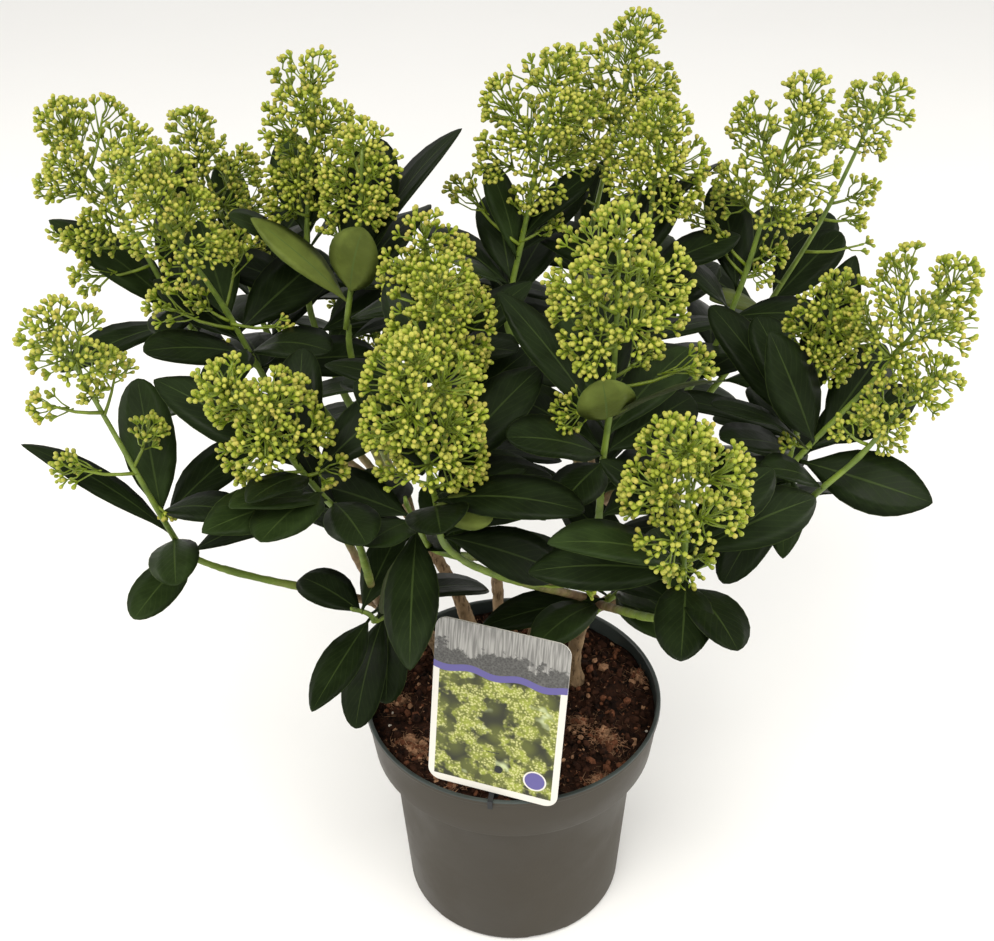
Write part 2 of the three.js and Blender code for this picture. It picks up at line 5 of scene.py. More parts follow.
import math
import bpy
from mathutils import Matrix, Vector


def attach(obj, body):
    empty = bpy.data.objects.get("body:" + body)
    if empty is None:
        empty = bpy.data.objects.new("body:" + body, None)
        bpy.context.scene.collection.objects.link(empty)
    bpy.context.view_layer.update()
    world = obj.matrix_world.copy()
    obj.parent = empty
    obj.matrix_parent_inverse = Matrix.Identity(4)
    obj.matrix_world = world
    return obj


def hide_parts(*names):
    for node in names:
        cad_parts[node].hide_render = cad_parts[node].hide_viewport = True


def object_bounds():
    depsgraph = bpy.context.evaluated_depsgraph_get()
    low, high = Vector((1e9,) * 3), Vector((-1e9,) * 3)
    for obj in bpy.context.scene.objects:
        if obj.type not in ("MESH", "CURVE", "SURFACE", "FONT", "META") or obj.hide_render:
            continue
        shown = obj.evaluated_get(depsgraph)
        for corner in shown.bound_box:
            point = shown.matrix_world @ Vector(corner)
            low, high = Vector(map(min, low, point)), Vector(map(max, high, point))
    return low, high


bl_info = {
    "name": "Potted skimmia shrub",
    "version": (1, 0, 0),
    "blender": (4, 5, 0),
    "location": "3D View > Sidebar > Skimmia",
    "description": "Grows a potted skimmia shrub round its packed frame",
    "category": "Add Mesh",
}

from functools import partial
from typing import NamedTuple

import bmesh
import bpy
import numpy as np
from bpy.props import FloatProperty, FloatVectorProperty, IntProperty, PointerProperty
from mathutils import Matrix, Vector, kdtree, noise

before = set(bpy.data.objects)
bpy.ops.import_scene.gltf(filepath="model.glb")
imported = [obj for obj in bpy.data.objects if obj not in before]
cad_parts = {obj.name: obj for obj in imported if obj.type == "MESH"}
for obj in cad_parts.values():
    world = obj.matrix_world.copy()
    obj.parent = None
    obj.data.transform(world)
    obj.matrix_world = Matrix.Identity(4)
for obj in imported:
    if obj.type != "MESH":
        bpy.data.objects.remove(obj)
CAD_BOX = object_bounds()

MM = 0.001
GOLDEN_ANGLE = 137.5

# The stems: where each leaves the peat and where it forks, in millimetres, and its radius above the flare
STEMS = {
    "right": ((39, 21), (50, -5, 240), 4.8),
    "left": ((-45, 30), (-85, -5, 240), 4.6),
    "centre": ((-8, 25), (-10, 20, 265), 4.3),
    "back_left": ((-28, 58), (-75, 85, 255), 4.6),
    "back_right": ((18, 58), (60, 85, 250), 5.0),
}

# The shoots, in millimetres and degrees: the stem, the middle of the whorl of leaves, the lean from
# upright and its direction (0 is +X), the direction of the lowest leaf, the bare stalk, the bloom's length
# and radius, and the numbers of loose sprays and of leaves. The last three have leaves alone.
SHOOTS = {
    "left": ("left", (-200, -25, 320), 16, 210, 275, 112, 46, 26, 4, 8),
    "front_left": ("left", (-103, -90, 393), 30, 200, 205, 16, 74, 32, 2, 9),
    "upper_left": ("left", (-158, 50, 397), 22, 195, 230, 45, 90, 30, 1, 9),
    "front": ("right", (-41, -100, 389), 8, 245, 255, 15, 90, 34, 1, 9),
    "front_right": ("right", (85, -140, 375), 9, 245, 270, 14, 80, 34, 2, 9),
    "right_centre": ("right", (49, -65, 403), 3, 320, 0, 50, 84, 38, 2, 9),
    "right": ("right", (168, -5, 345), 31, 357, 350, 78, 66, 39, 2, 8),
    "right_outer": ("right", (182, -35, 355), 38, 5, 100, 34, 52, 24, 1, 5),
    "right_inner": ("right", (168, 15, 352), 8, 340, 0, 38, 66, 24, 1, 8),
    "centre_front": ("centre", (-37, -40, 400), 8, 270, 0, 20, 80, 31, 0, 8),
    "centre": ("centre", (-42, 10, 409), 4, 225, 0, 12, 74, 29, 0, 8),
    "far_left": ("back_left", (-205, 110, 385), 22.5, 185, 180, 48, 96, 43, 2, 9),
    "far_left_inner": ("back_left", (-165, 150, 370), 15, 160, 0, 40, 82, 35, 1, 7),
    "back_left_tall": ("back_left", (-120, 100, 420), 6, 25, 0, 15, 116, 29, 1, 9),
    "back_left_inner": ("back_left", (-92, 60, 417), 8, 345, 0, 48, 60, 25, 1, 8),
    "back_centre": ("back_right", (3, 100, 410), 12, 10, 0, 55, 84, 40, 2, 9),
    "back_tall": ("back_right", (50, 160, 383), 11, 10, 0, 60, 106, 37, 1, 8),
    "back_right_inner": ("back_right", (79, 85, 418), 4, 0, 0, 44, 58, 33, 1, 9),
    "back_right": ("back_right", (138, 100, 390), 15, 15, 0, 44, 100, 38, 1, 8),
    "far_right": ("back_right", (170, 150, 355), 27, 20, 0, 110, 50, 24, 3, 8),
    "behind_left": ("back_left", (-90, 190, 290), 30, 105, 0, 10, 60, 32, 0, 8),
    "behind": ("back_left", (-15, 200, 285), 28, 90, 0, 10, 60, 32, 0, 8),
    "behind_right": ("back_right", (75, 195, 280), 30, 75, 0, 10, 60, 32, 0, 8),
    "low_right": ("right", (68, -22, 266), 35, 320, 300, 0, 0, 0, 0, 6),
    "low_left": ("left", (-88, -42, 262), 40, 250, 255, 0, 0, 0, 0, 6),
    "low_centre": ("centre", (-53, -85, 366), 25, 250, 250, 0, 0, 0, 0, 6),
}
# Leaves with a place of their own. The pixels are of a picture 994 wide and 941 high.
ANY, OLIVE, YOUNG = -1, 2, 3


class Placed(NamedTuple):
    """Height of the leaf's root on its shoot (below 0 back along the bough), its length and width, in
    millimetres; how far its upper side turns to the camera; the pixel of its tip in the camera's picture;
    whether the tip lies behind the root; a pointed or a rounded blade; and the tone of green."""

    height: float
    size: tuple
    facing: float
    tip: tuple
    behind: bool = False
    pointed: bool = True
    tone: int = ANY


near, near_round = Placed, partial(Placed, pointed=False)
far, far_round = partial(Placed, behind=True), partial(Placed, behind=True, pointed=False)

PLACED = {
    "left": (
        near(6, (106, 25), 0.1, tip=(2, 433)), far_round(22, (80, 32), 0.95, tip=(138, 381)),
        far_round(20, (80, 30), 0.3, tip=(254, 441)), near_round(26, (62, 26), 0.1, tip=(239, 514)),
        near_round(4, (60, 29), 0.4, tip=(176, 585)), near_round(-12, (62, 26), 0.5, tip=(135, 618)),
        far_round(-11, (80, 28), 0.2, tip=(322, 504)),
    ),
    "front_left": (
        near(8, (88, 30), 0.4, tip=(205, 532)), near(4, (80, 28), 0.1, tip=(232, 508)),
        near(24, (64, 24), 0.1, tip=(248, 503)), far(30, (92, 33), 0.4, tip=(156, 381)),
        near_round(12, (72, 30), 0.2, tip=(262, 541)), near_round(2, (58, 28), 0.2, tip=(366, 544)),
    ),
    "upper_left": (
        near_round(4, (72, 31), 0.3, tip=(146, 352)), far_round(30, (76, 33), 0.9, tip=(200, 222)),
        far_round(22, (82, 35), 0.8, tip=(325, 255)), near_round(10, (66, 28), 0.1, tip=(212, 400)),
        near_round(6, (76, 30), 0.2, tip=(330, 352)),
    ),
    "far_left": (
        near(4, (88, 32), 0.3, tip=(50, 221)), near(4, (92, 28), 0.1, tip=(62, 372)),
        far_round(36, (70, 24), 0.2, tip=(190, 160)), near_round(16, (52, 27), 0.1, tip=(165, 336)),
    ),
    "back_left_inner": (
        far(14, (66, 27), 0.1, tip=(253, 220), tone=YOUNG),
        near_round(22, (52, 31), 0.9, tip=(363, 229), tone=YOUNG),
        far_round(32, (80, 34), 0.9, tip=(380, 142)), far(26, (90, 31), -0.3, tip=(461, 130)),
        near_round(4, (72, 29), 0.2, tip=(430, 300)),
    ),
    "back_left_tall": (
        near_round(10, (70, 27), 0.2, tip=(229, 217), tone=OLIVE),
    ),
    "back_centre": (
        far_round(12, (62, 29), 0.5, tip=(492, 194)), far_round(28, (58, 24), -0.3, tip=(488, 165)),
        far_round(30, (72, 29), 0.2, tip=(582, 185)), near_round(6, (66, 28), 0.2, tip=(448, 262)),
    ),
    "back_tall": (
        far(16, (66, 24), -0.2, tip=(605, 160)),
    ),
    "centre": (
        far(10, (66, 28), 0.2, tip=(530, 284)), near_round(18, (60, 28), 0.2, tip=(516, 352)),
    ),
    "centre_front": (
        far(12, (66, 31), 0.3, tip=(529, 351)),
    ),
    "right_centre": (
        far(22, (86, 28), 0.2, tip=(500, 295)), far_round(34, (66, 28), 0.3, tip=(569, 316)),
        far_round(38, (72, 28), 0.3, tip=(606, 300)),
        near_round(30, (42, 31), 1, tip=(602, 380), tone=YOUNG),
        near_round(2, (52, 28), 0.3, tip=(560, 507)), near_round(6, (70, 30), 0.3, tip=(508, 438)),
        near(28, (78, 26), -0.3, tip=(724, 382)), far_round(8, (74, 32), 0.6, tip=(690, 398)),
    ),
    "front": (
        far(28, (90, 32), 0.5, tip=(540, 368)), near_round(18, (84, 31), 0.3, tip=(582, 512)),
        far(26, (70, 28), 0.1, tip=(552, 478)), far(22, (60, 27), 0.1, tip=(528, 462)),
        near_round(16, (36, 19), 0.9, tip=(492, 519), tone=YOUNG),
        near_round(14, (46, 33), 0.4, tip=(441, 534)), far(-8, (80, 30), 0.6, tip=(562, 574)),
        far_round(-30, (88, 31), 0.4, tip=(428, 534)),
    ),
    "low_centre": (
        near(10, (92, 29), 0.3, tip=(410, 667)), near_round(16, (52, 27), 0.1, tip=(366, 546)),
        far_round(6, (74, 29), 0.1, tip=(388, 610)),
    ),
    "low_left": (
        near(6, (80, 25), 0.2, tip=(313, 710)), near_round(-30, (70, 26), 0.2, tip=(356, 727)),
        far_round(20, (50, 27), 0.3, tip=(302, 578)), far_round(24, (62, 24), 0.4, tip=(400, 530)),
        near_round(-40, (52, 26), 0.1, tip=(386, 702)),
    ),
    "front_right": (
        far(26, (84, 32), 0.45, tip=(814, 499)), near_round(10, (60, 29), 0.3, tip=(681, 660)),
        near_round(4, (64, 27), 0.1, tip=(737, 650)), near(20, (90, 30), 0.2, tip=(549, 544)),
        far(30, (70, 29), 0.2, tip=(772, 470)),
    ),
    "low_right": (
        near(10, (66, 26), 0.1, tip=(665, 612)), near(4, (72, 25), 0.1, tip=(668, 640)),
        near(-4, (78, 28), 0.2, tip=(484, 627)), near(-12, (76, 28), 0.1, tip=(532, 650)),
    ),
    "right": (
        near(16, (80, 36), 0.85, tip=(930, 502)), near(30, (84, 33), 0.9, tip=(770, 334)),
        far(34, (80, 32), 0.7, tip=(885, 346)), far(26, (76, 30), 0.6, tip=(917, 390)),
        near(12, (60, 26), 0.2, tip=(745, 487)), near_round(4, (84, 29), 0.2, tip=(724, 582)),
        near(8, (60, 22), 0.1, tip=(783, 557)),
    ),
    "right_outer": (
        near(6, (62, 26), 0.2, tip=(760, 470)),
    ),
    "right_inner": (
        far_round(18, (84, 30), 0.4, tip=(712, 308)), far_round(26, (64, 30), 0.4, tip=(757, 318)),
        far_round(10, (60, 24), 0.1, tip=(716, 416)), far(6, (62, 26), 0.1, tip=(752, 387)),
        near_round(2, (72, 28), 0.3, tip=(722, 440)), far(30, (88, 29), 0.3, tip=(855, 257)),
    ),
    "back_right_inner": (
        far(-14, (84, 31), 0.6, tip=(717, 264)), far(16, (70, 26), 0.3, tip=(738, 236)),
        far_round(24, (56, 26), 0.3, tip=(672, 178)),
    ),
    "back_right": (
        near(10, (50, 27), 0.2, tip=(683, 262)), far_round(24, (70, 30), 0.4, tip=(719, 186)),
        far_round(32, (68, 29), 0.3, tip=(781, 208)),
    ),
    "far_right": (
        far_round(20, (66, 31), 0.6, tip=(840, 234)),
        near_round(14, (46, 22), 0.2, tip=(710, 300), tone=YOUNG), near(6, (58, 27), 0.2, tip=(812, 322)),
    ),
}


class Stray(NamedTuple):
    """A loose spray with a place of its own: the height of its root over the middle of the whorl (below 0
    back along the bough) and its head's radius, in millimetres; and the pixel of the head's middle."""

    height: float
    radius: float
    head: tuple


STRAYS = {
    "left": (
        Stray(39, 11, head=(66, 468)), Stray(44, 12, head=(150, 428)), Stray(86, 10, head=(42, 404)),
        Stray(98, 9, head=(92, 392)), Stray(84, 9, head=(118, 362)), Stray(14, 6, head=(168, 514)),
    ),
    "far_left": (
        Stray(30, 12, head=(84, 278)), Stray(44, 10, head=(58, 240)), Stray(100, 11, head=(104, 110)),
    ),
    "back_left_tall": (
        Stray(80, 10, head=(284, 66)), Stray(70, 9, head=(274, 112)),
    ),
    "upper_left": (
        Stray(6, 12, head=(160, 304)), Stray(12, 9, head=(196, 300)), Stray(18, 11, head=(239, 242)),
        Stray(10, 8, head=(284, 327)), Stray(-4, 8, head=(214, 352)),
    ),
    "front_left": (
        Stray(6, 12, head=(332, 466)), Stray(10, 9, head=(262, 470)),
    ),
    "back_left_inner": (
        Stray(24, 9, head=(330, 222)), Stray(14, 8, head=(376, 214)),
    ),
    "back_centre": (
        Stray(18, 11, head=(460, 186)), Stray(26, 14, head=(530, 200)), Stray(20, 10, head=(552, 222)),
        Stray(118, 9, head=(520, 80)), Stray(126, 9, head=(570, 50)),
    ),
    "right_centre": (
        Stray(16, 13, head=(568, 412)), Stray(30, 10, head=(702, 362)), Stray(36, 10, head=(650, 352)),
    ),
    "front": (
        Stray(10, 12, head=(394, 470)), Stray(8, 12, head=(472, 472)), Stray(-88, 9, head=(577, 570)),
        Stray(-92, 6, head=(594, 586)),
    ),
    "front_right": (
        Stray(2, 12, head=(680, 576)), Stray(4, 8, head=(704, 556)),
    ),
    "right": (
        Stray(38, 10, head=(868, 420)), Stray(44, 10, head=(893, 442)), Stray(8, 7, head=(788, 444)),
        Stray(100, 12, head=(905, 254)), Stray(88, 10, head=(966, 318)),
    ),
    "back_right": (
        Stray(22, 13, head=(702, 208)), Stray(16, 9, head=(714, 238)), Stray(24, 12, head=(774, 250)),
        Stray(14, 9, head=(764, 274)),
    ),
    "far_right": (
        Stray(74, 11, head=(868, 190)), Stray(64, 9, head=(858, 220)), Stray(40, 6, head=(866, 244)),
        Stray(16, 8, head=(752, 262)),
    ),
}
# Where the sky shows through the crown: the column, row and radius of round clearings in the same picture
CLEARINGS = (
    (128, 540, 32), (215, 548, 20), (250, 560, 22), (285, 568, 16), (330, 545, 12), (105, 425, 12),
    (190, 432, 12), (850, 542, 36), (812, 530, 14), (890, 527, 20), (935, 432, 26), (965, 415, 16),
    (765, 602, 18), (740, 588, 8), (345, 620, 14), (770, 560, 12), (848, 222, 16), (815, 205, 12),
    (112, 310, 22), (640, 632, 10), (275, 330, 8), (100, 440, 14), (198, 528, 14), (122, 332, 10),
    (362, 562, 10), (800, 520, 14), (180, 462, 10),
)
LEAFY_LENGTH = 40 * MM
LEAF_LENGTH = 85 * MM
# The turn and lift in degrees and the scale of each try to place a leaf by the rule
LEAF_TRIES = ((0, 0, 1), (24, 10, 1), (-24, -10, 1), (40, 18, 0.85), (-40, 14, 0.75), (12, 28, 0.65))
SOIL_LEVEL = 151 * MM
# The camera's target in metres, the width of its sensor in millimetres and the size of its picture in pixels
CAMERA_TARGET = (-0.0084, 0.0, 0.334)
SENSOR_WIDTH = 36
PICTURE_WIDTH, PICTURE_HEIGHT = 994, 941
# The distance between the roots of two boughs as a share of their stem
BOUGH_SPACING = 0.045
# How far a bough reaches out and up while it still leans on its stem, as shares of its span, and the share of
# its span that runs in line with its shoot
BOUGH_REACH, BOUGH_LIFT, BOUGH_RUN_IN = 0.42, 0.36, 0.2


# Settings


def length(name, description, default):
    return FloatProperty(name=name, description=description, default=default, unit="LENGTH", precision=4)


def colour(name, description, default):
    return FloatVectorProperty(name=name, description=description, default=default, subtype="COLOR", size=3,
                               min=0, max=1)


def angle(name, description, degrees):
    return FloatProperty(name=name, description=description, default=math.radians(degrees), subtype="ANGLE")


def number(name, description, default):
    return IntProperty(name=name, description=description, default=default, min=0)


def factor(name, description, default):
    return FloatProperty(name=name, description=description, default=default, subtype="FACTOR", min=0, max=1)


class PotSettings(bpy.types.PropertyGroup):
    """The nursery pot"""

    height: length("Height", "From the floor to the rim", 0.157)
    rim_radius: length("Rim radius", "At the outside of the lip", 0.095)
    lip_depth: length("Lip depth", "Height of the upright lip", 0.004)
    lip_round: length("Lip round", "How far the lip stands out", 0.001)
    collar_depth: length("Collar depth", "From the rim to the collar's lower edge", 0.036)
    collar_radius: length("Collar radius", "At the collar's lower edge", 0.0905)
    neck_radius: length("Neck radius", "Of the body under the collar", 0.0795)
    foot_radius: length("Foot radius", "Of the body at the floor", 0.0715)
    foot_bevel: length("Foot bevel", "Round of the foot", 0.003)
    wall: length("Wall", "Thickness of the plastic", 0.0018)
    floor: length("Floor", "Thickness of the pot's floor", 0.003)
    slots: number("Drain slots", "Openings round the foot", 5)
    slot_width: length("Slot width", "Of a drain slot", 0.026)
    slot_height: length("Slot height", "Of a drain slot", 0.0024)
    slot_round: factor("Slot round", "Bevel of a drain slot's cutter, as a share of its size", 0.0012)
    slot_turn: angle("Slot turn", "Where the first drain slot lies, from the X axis", -73)
    plastic: colour("Plastic", "The moulded plastic", (0.043, 0.037, 0.0275))
    rim: colour("Rim", "The plastic at the rim and inside", (0.028, 0.036, 0.033))


class SoilSettings(bpy.types.PropertyGroup):
    """The peat in the pot"""

    crown: length("Crown", "How far the peat is heaped in the middle", 0.003)
    relief: length("Relief", "Height of its lumps", 0.0035)
    crumbs: number("Crumbs", "Loose crumbs on the peat", 3000)
    fibres: number("Fibres", "Loose fibres on the peat", 900)
    lump_crumbs: number("Lump crumbs", "Crumbs in each fibrous lump", 26)
    lump_fibres: number("Lump fibres", "Fibres in each fibrous lump", 130)
    pearls: number("Pearls", "Pale mineral grains", 22)
    peat: colour("Peat", "Damp peat", (0.0058, 0.0027, 0.0015))
    peat_pale: colour("Drier peat", "The drier crumbs", (0.042, 0.018, 0.0105))
    bark: colour("Bark", "Crumbs of bark", (0.125, 0.050, 0.026))
    fibre: colour("Fibre", "Coconut and root fibres", (0.37, 0.205, 0.115))
    pearl: colour("Pearl", "Mineral grains", (0.62, 0.56, 0.47))


class LabelSettings(bpy.types.PropertyGroup):
    """The plant label"""

    width: length("Width", "Of the card", 0.081)
    height: length("Height", "Of the card", 0.119)
    corner: length("Corner", "Radius of its corners", 0.008)
    thick: length("Thickness", "Of the card", 0.0012)
    turn: angle("Turn", "About the upright, right edge forward", 18)
    lean: angle("Lean", "Backward", 7)
    tilt: angle("Tilt", "Sideways, its head to the right", 2)
    white: colour("White", "The bare card", (0.68, 0.66, 0.60))
    green: colour("Field", "The printed field", (0.27, 0.31, 0.035))
    bead: colour("Beads", "The printed buds", (0.52, 0.52, 0.20))
    gap: colour("Gaps", "The light between the printed leaves", (0.50, 0.56, 0.30))
    violet: colour("Band", "The printed band", (0.10, 0.085, 0.27))
    grey: colour("Head", "The printed head", (0.27, 0.265, 0.25))
    dark: colour("Stake", "The dark plastic of the stake", (0.010, 0.011, 0.012))
    dark_pale: colour("Stake, paler", "Where the dark plastic is worn", (0.022, 0.024, 0.026))


class WoodSettings(bpy.types.PropertyGroup):
    """Stems, boughs and shoots"""

    stem_taper: factor("Stem taper", "Radius at the fork as a share of the radius above the flare", 0.72)
    flare: factor("Flare", "How much thicker the foot is", 0.7)
    flare_share: factor("Flare share", "How far the flare reaches up the stem", 0.09)
    bough_foot: length("Bough foot", "Radius where a bough leaves its stem", 0.0028)
    bough_tip: length("Bough tip", "Radius where a bough meets its shoot", 0.0018)
    shoot_foot: length("Shoot foot", "Radius under the leaves", 0.0019)
    shoot_tip: length("Shoot tip", "Radius in the bloom", 0.0010)
    relief: length("Bark relief", "Depth of the bark's cracks", 0.0007)
    bark: colour("Bark", "Old bark", (0.25, 0.165, 0.085))
    crack: colour("Cracks", "In old bark", (0.075, 0.045, 0.022))
    young: colour("Young wood", "Green shoots", (0.160, 0.230, 0.024))
    young_deep: colour("Young wood, deep", "Shaded green of the shoots", (0.085, 0.135, 0.014))


class LeafSettings(bpy.types.PropertyGroup):
    """The leaves"""

    length: length("Length", "Of a full leaf", LEAF_LENGTH)
    width: length("Width", "Of a full leaf", 0.034)
    thick: length("Thickness", "Of the blade", 0.0007)
    bend: angle("Bend", "How far a leaf turns down from root to tip", 38)
    fold: factor("Fold", "How far the margins rise over the midrib", 0.11)
    extra: number("Lower leaves", "Older leaves under each whorl", 5)
    upper: colour("Upper side", "Of a grown leaf", (0.0075, 0.0130, 0.0038))
    upper_pale: colour("Upper side, paler", "Where the light green shows through", (0.0135, 0.0235, 0.0062))
    under: colour("Underside", "Of a grown leaf", (0.050, 0.064, 0.022))
    rib: colour("Midrib", "Of a grown leaf", (0.048, 0.075, 0.019))
    young: colour("Young leaf", "The paler young leaves", (0.085, 0.108, 0.022))


class BloomSettings(bpy.types.PropertyGroup):
    """The panicles of buds"""

    bud: length("Bud", "Radius of a bud", 0.00138)
    spacing: length("Spray spacing", "Of bloom length for each spray", 0.0088)
    head: length("Head radius", "Of a spray", 0.0155)
    head_share: factor("Head share", "The largest head in a slim panicle, as a share of its radius", 0.48)
    cyme: length("Cyme spacing", "Between clusters of buds", 0.0069)
    pedicel: length("Pedicel", "Length of a bud's stalk", 0.0049)
    bright: colour("Bud", "Cream yellow-green of the buds", (0.42, 0.42, 0.068))
    deep: colour("Bud, green", "The greener buds", (0.31, 0.355, 0.036))
    amber: colour("Bud, amber", "The ripest buds", (0.44, 0.395, 0.075))
    stalk: colour("Stalks", "Of the sprays and buds", (0.175, 0.245, 0.010))


class StudioSettings(bpy.types.PropertyGroup):
    """Floor, light and camera"""

    floor: colour("Floor", "The pale floor", (0.90, 0.90, 0.89))
    key: FloatProperty(name="Key light", description="Power of the main soft light", default=34, unit="POWER")
    fill: FloatProperty(name="Fill light", description="Power of the side light", default=12, unit="POWER")
    edge: FloatProperty(name="Edge lights", description="Power of each light at the sides", default=9,
                        unit="POWER")
    sky: FloatProperty(name="Sky", description="Strength of the even light", default=0.75)
    lens: FloatProperty(name="Lens", description="Focal length", default=59.76, unit="CAMERA")
    distance: length("Distance", "From the camera to its target", 0.960)
    elevation: angle("Elevation", "Of the camera over its target", 35.9)
    roll: angle("Roll", "Of the camera", -0.75)


# The seeded rule of growth


def roll(seed, step):
    """One fixed number from 0 to 1 for each seed and step. Each use has a step of its own to start from."""
    wave = math.sin(seed * 12.9898 + step * 78.233) * 43758.5453
    return wave - math.floor(wave)


def between(low, high, seed, step):
    return low + (high - low) * roll(seed, step)


def lerp(low, high, share):
    return low + (high - low) * share


def heading(toward, rise):
    """A unit vector from its direction in plan and its rise above level, in degrees."""
    plan, slope = math.radians(toward), math.radians(rise)
    return np.array((math.cos(slope) * math.cos(plan), math.cos(slope) * math.sin(plan), math.sin(slope)))


def unit(vectors):
    return vectors / np.maximum(np.linalg.norm(vectors, axis=-1, keepdims=True), 1e-12)


def bezier(start, outward, upward, end, steps=200):
    t = np.linspace(0, 1, steps + 1)[:, None]
    s = 1 - t
    return s ** 3 * start + 3 * s * s * t * outward + 3 * s * t * t * upward + t ** 3 * end


def along(line, shares):
    """The points of a line at shares of its length."""
    steps = np.linalg.norm(np.diff(line, axis=0), axis=1)
    reached = np.concatenate([[0], np.cumsum(steps)]) / steps.sum()
    return np.stack([np.interp(shares, reached, line[:, axis]) for axis in range(3)], axis=-1)


def stem_line(stem):
    """The middle line of a stem, upright from the peat and leaning out to its fork."""
    foot, fork, _ = STEMS[stem]
    start = np.array((*foot, SOIL_LEVEL / MM + 0.3)) * MM
    end = np.array(fork) * MM
    rise, upright_share, leaning_share = end[2] - start[2], 0.4, 0.3
    upright = start + (0, 0, rise * upright_share)
    leaning = end + (start - end) * leaning_share + np.array((0, 0, rise * 0.05))
    return bezier(start, upright, leaning, end)


class View:
    """The camera's place and axes, and the line of sight through each pixel of its picture."""

    def __init__(self, studio):
        self.back = np.array((0, -math.cos(studio.elevation), math.sin(studio.elevation)))
        level = np.array((1.0, 0, 0))
        upright = np.cross(self.back, level)
        self.across = level * math.cos(studio.roll) + upright * math.sin(studio.roll)
        self.upward = upright * math.cos(studio.roll) - level * math.sin(studio.roll)
        self.place = np.array(CAMERA_TARGET) + self.back * studio.distance
        self.focal = studio.lens / SENSOR_WIDTH * PICTURE_WIDTH

    def through(self, column, row):
        return unit(self.across * (column - PICTURE_WIDTH / 2) + self.upward * (PICTURE_HEIGHT / 2 - row)
                    - self.back * self.focal)

    def covers_clearing(self, points):
        """Whether one of the points lies before a clearing."""
        away = points - self.place
        scale = self.focal / -(away @ self.back)
        columns = PICTURE_WIDTH / 2 + away @ self.across * scale
        rows = PICTURE_HEIGHT / 2 - away @ self.upward * scale
        return any((np.hypot(columns - column, rows - row) < radius).any()
                   for column, row, radius in CLEARINGS)


class Shoot:
    """One shoot of the rule, with its sizes in metres."""

    def __init__(self, name, seed, order):
        stem, whorl, lean, toward, turn, stalk, bloom, radius, strays, leaves = SHOOTS[name]
        self.name, self.seed, self.stem, self.turn = name, seed, stem, turn
        self.strays, self.leaves = strays, leaves
        self.stalk, self.bloom, self.radius = stalk * MM, bloom * MM, radius * MM
        self.axis = heading(toward, 90 - lean)
        self.start = np.array(whorl) * MM - self.axis * LEAFY_LENGTH / 2
        self.bloom_foot = LEAFY_LENGTH / 2 + self.stalk
        self.first_turn = 360 * roll(seed, 100)
        self.node = f"foliage_{name}"
        self.height = self.bloom_foot + self.bloom * 0.8 if bloom else LEAFY_LENGTH + 4 * MM
        root = along(stem_line(stem), [1 - BOUGH_SPACING * (order + 0.5)])[0]
        span = self.start - root
        outward = root + span * (BOUGH_REACH, BOUGH_REACH, BOUGH_LIFT)
        upward = self.start - self.axis * BOUGH_RUN_IN * np.linalg.norm(span)
        self.bough = bezier(root, outward, upward, self.start)

    def at(self, height):
        return self.start + self.axis * height

    def rooted(self, height):
        """The place at a height on the shoot, or below 0 on its bough."""
        if height >= 0:
            return self.at(height)
        whole = np.linalg.norm(np.diff(self.bough, axis=0), axis=1).sum()
        return along(self.bough, [max(0.0, 1 + height / whole)])[0]


def grown_shoots():
    orders, shoots = {}, []
    for index, (name, row) in enumerate(SHOOTS.items()):
        order = orders.get(row[0], 0)
        orders[row[0]] = order + 1
        shoots.append(Shoot(name, index + 1, order))
    return shoots


GROWN = grown_shoots()


def shoots_of(stem):
    return [shoot for shoot in GROWN if shoot.stem == stem]


def corner_finder(node):
    """A finder for the corners of a CAD node, which tell which leaves the rule could place."""
    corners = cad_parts[node].data.vertices
    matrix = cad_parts[node].matrix_world
    finder = kdtree.KDTree(len(corners))
    for index, corner in enumerate(corners):
        finder.insert(matrix @ corner.co, index)
    finder.balance()
    return finder


# Modelling helpers


def begin():
    """Object mode with nothing selected."""
    if bpy.context.object and bpy.context.object.mode != "OBJECT":
        bpy.ops.object.mode_set(mode="OBJECT")
    bpy.ops.object.select_all(action="DESELECT")


def edit():
    bpy.ops.object.mode_set(mode="EDIT")
    bpy.ops.mesh.select_mode(type="VERT")


def leave_edit():
    """Back to object mode; returns the object."""
    bpy.ops.object.mode_set(mode="OBJECT")
    return bpy.context.object


def choose_all():
    bpy.ops.mesh.select_all(action="SELECT")


def close_up():
    """In edit mode, turns all faces outward and leaves it; returns the object."""
    choose_all()
    bpy.ops.mesh.normals_make_consistent(inside=False)
    return leave_edit()


def take(*pieces):
    """Selects the pieces alone, the first of them active."""
    begin()
    for piece in pieces:
        piece.select_set(True)
    bpy.context.view_layer.objects.active = pieces[0]


def join(*pieces):
    take(*pieces)
    bpy.ops.object.join()
    return bpy.context.object


def choose(test, kind="VERT"):
    """In edit mode, selects the corners, edges or faces that pass the test."""
    bpy.ops.mesh.select_mode(type=kind)
    mesh = bmesh.from_edit_mesh(bpy.context.object.data)
    for part in {"VERT": mesh.verts, "EDGE": mesh.edges, "FACE": mesh.faces}[kind]:
        part.select_set(bool(test(part)))
    if kind == "VERT":
        mesh.select_flush(True)
    bmesh.update_edit_mesh(bpy.context.object.data)


def extrude(x, y, z):
    bpy.ops.mesh.extrude_region_move(TRANSFORM_OT_translate={"value": (x, y, z)})


def apply_place():
    """Puts the place, turn and size of the active object into its mesh."""
    bpy.ops.object.transform_apply(location=True, rotation=True, scale=True)


def cuboid(place, size):
    """A new cuboid, in edit mode."""
    begin()
    bpy.ops.mesh.primitive_cube_add(size=1, location=place, scale=size)
    apply_place()
    edit()


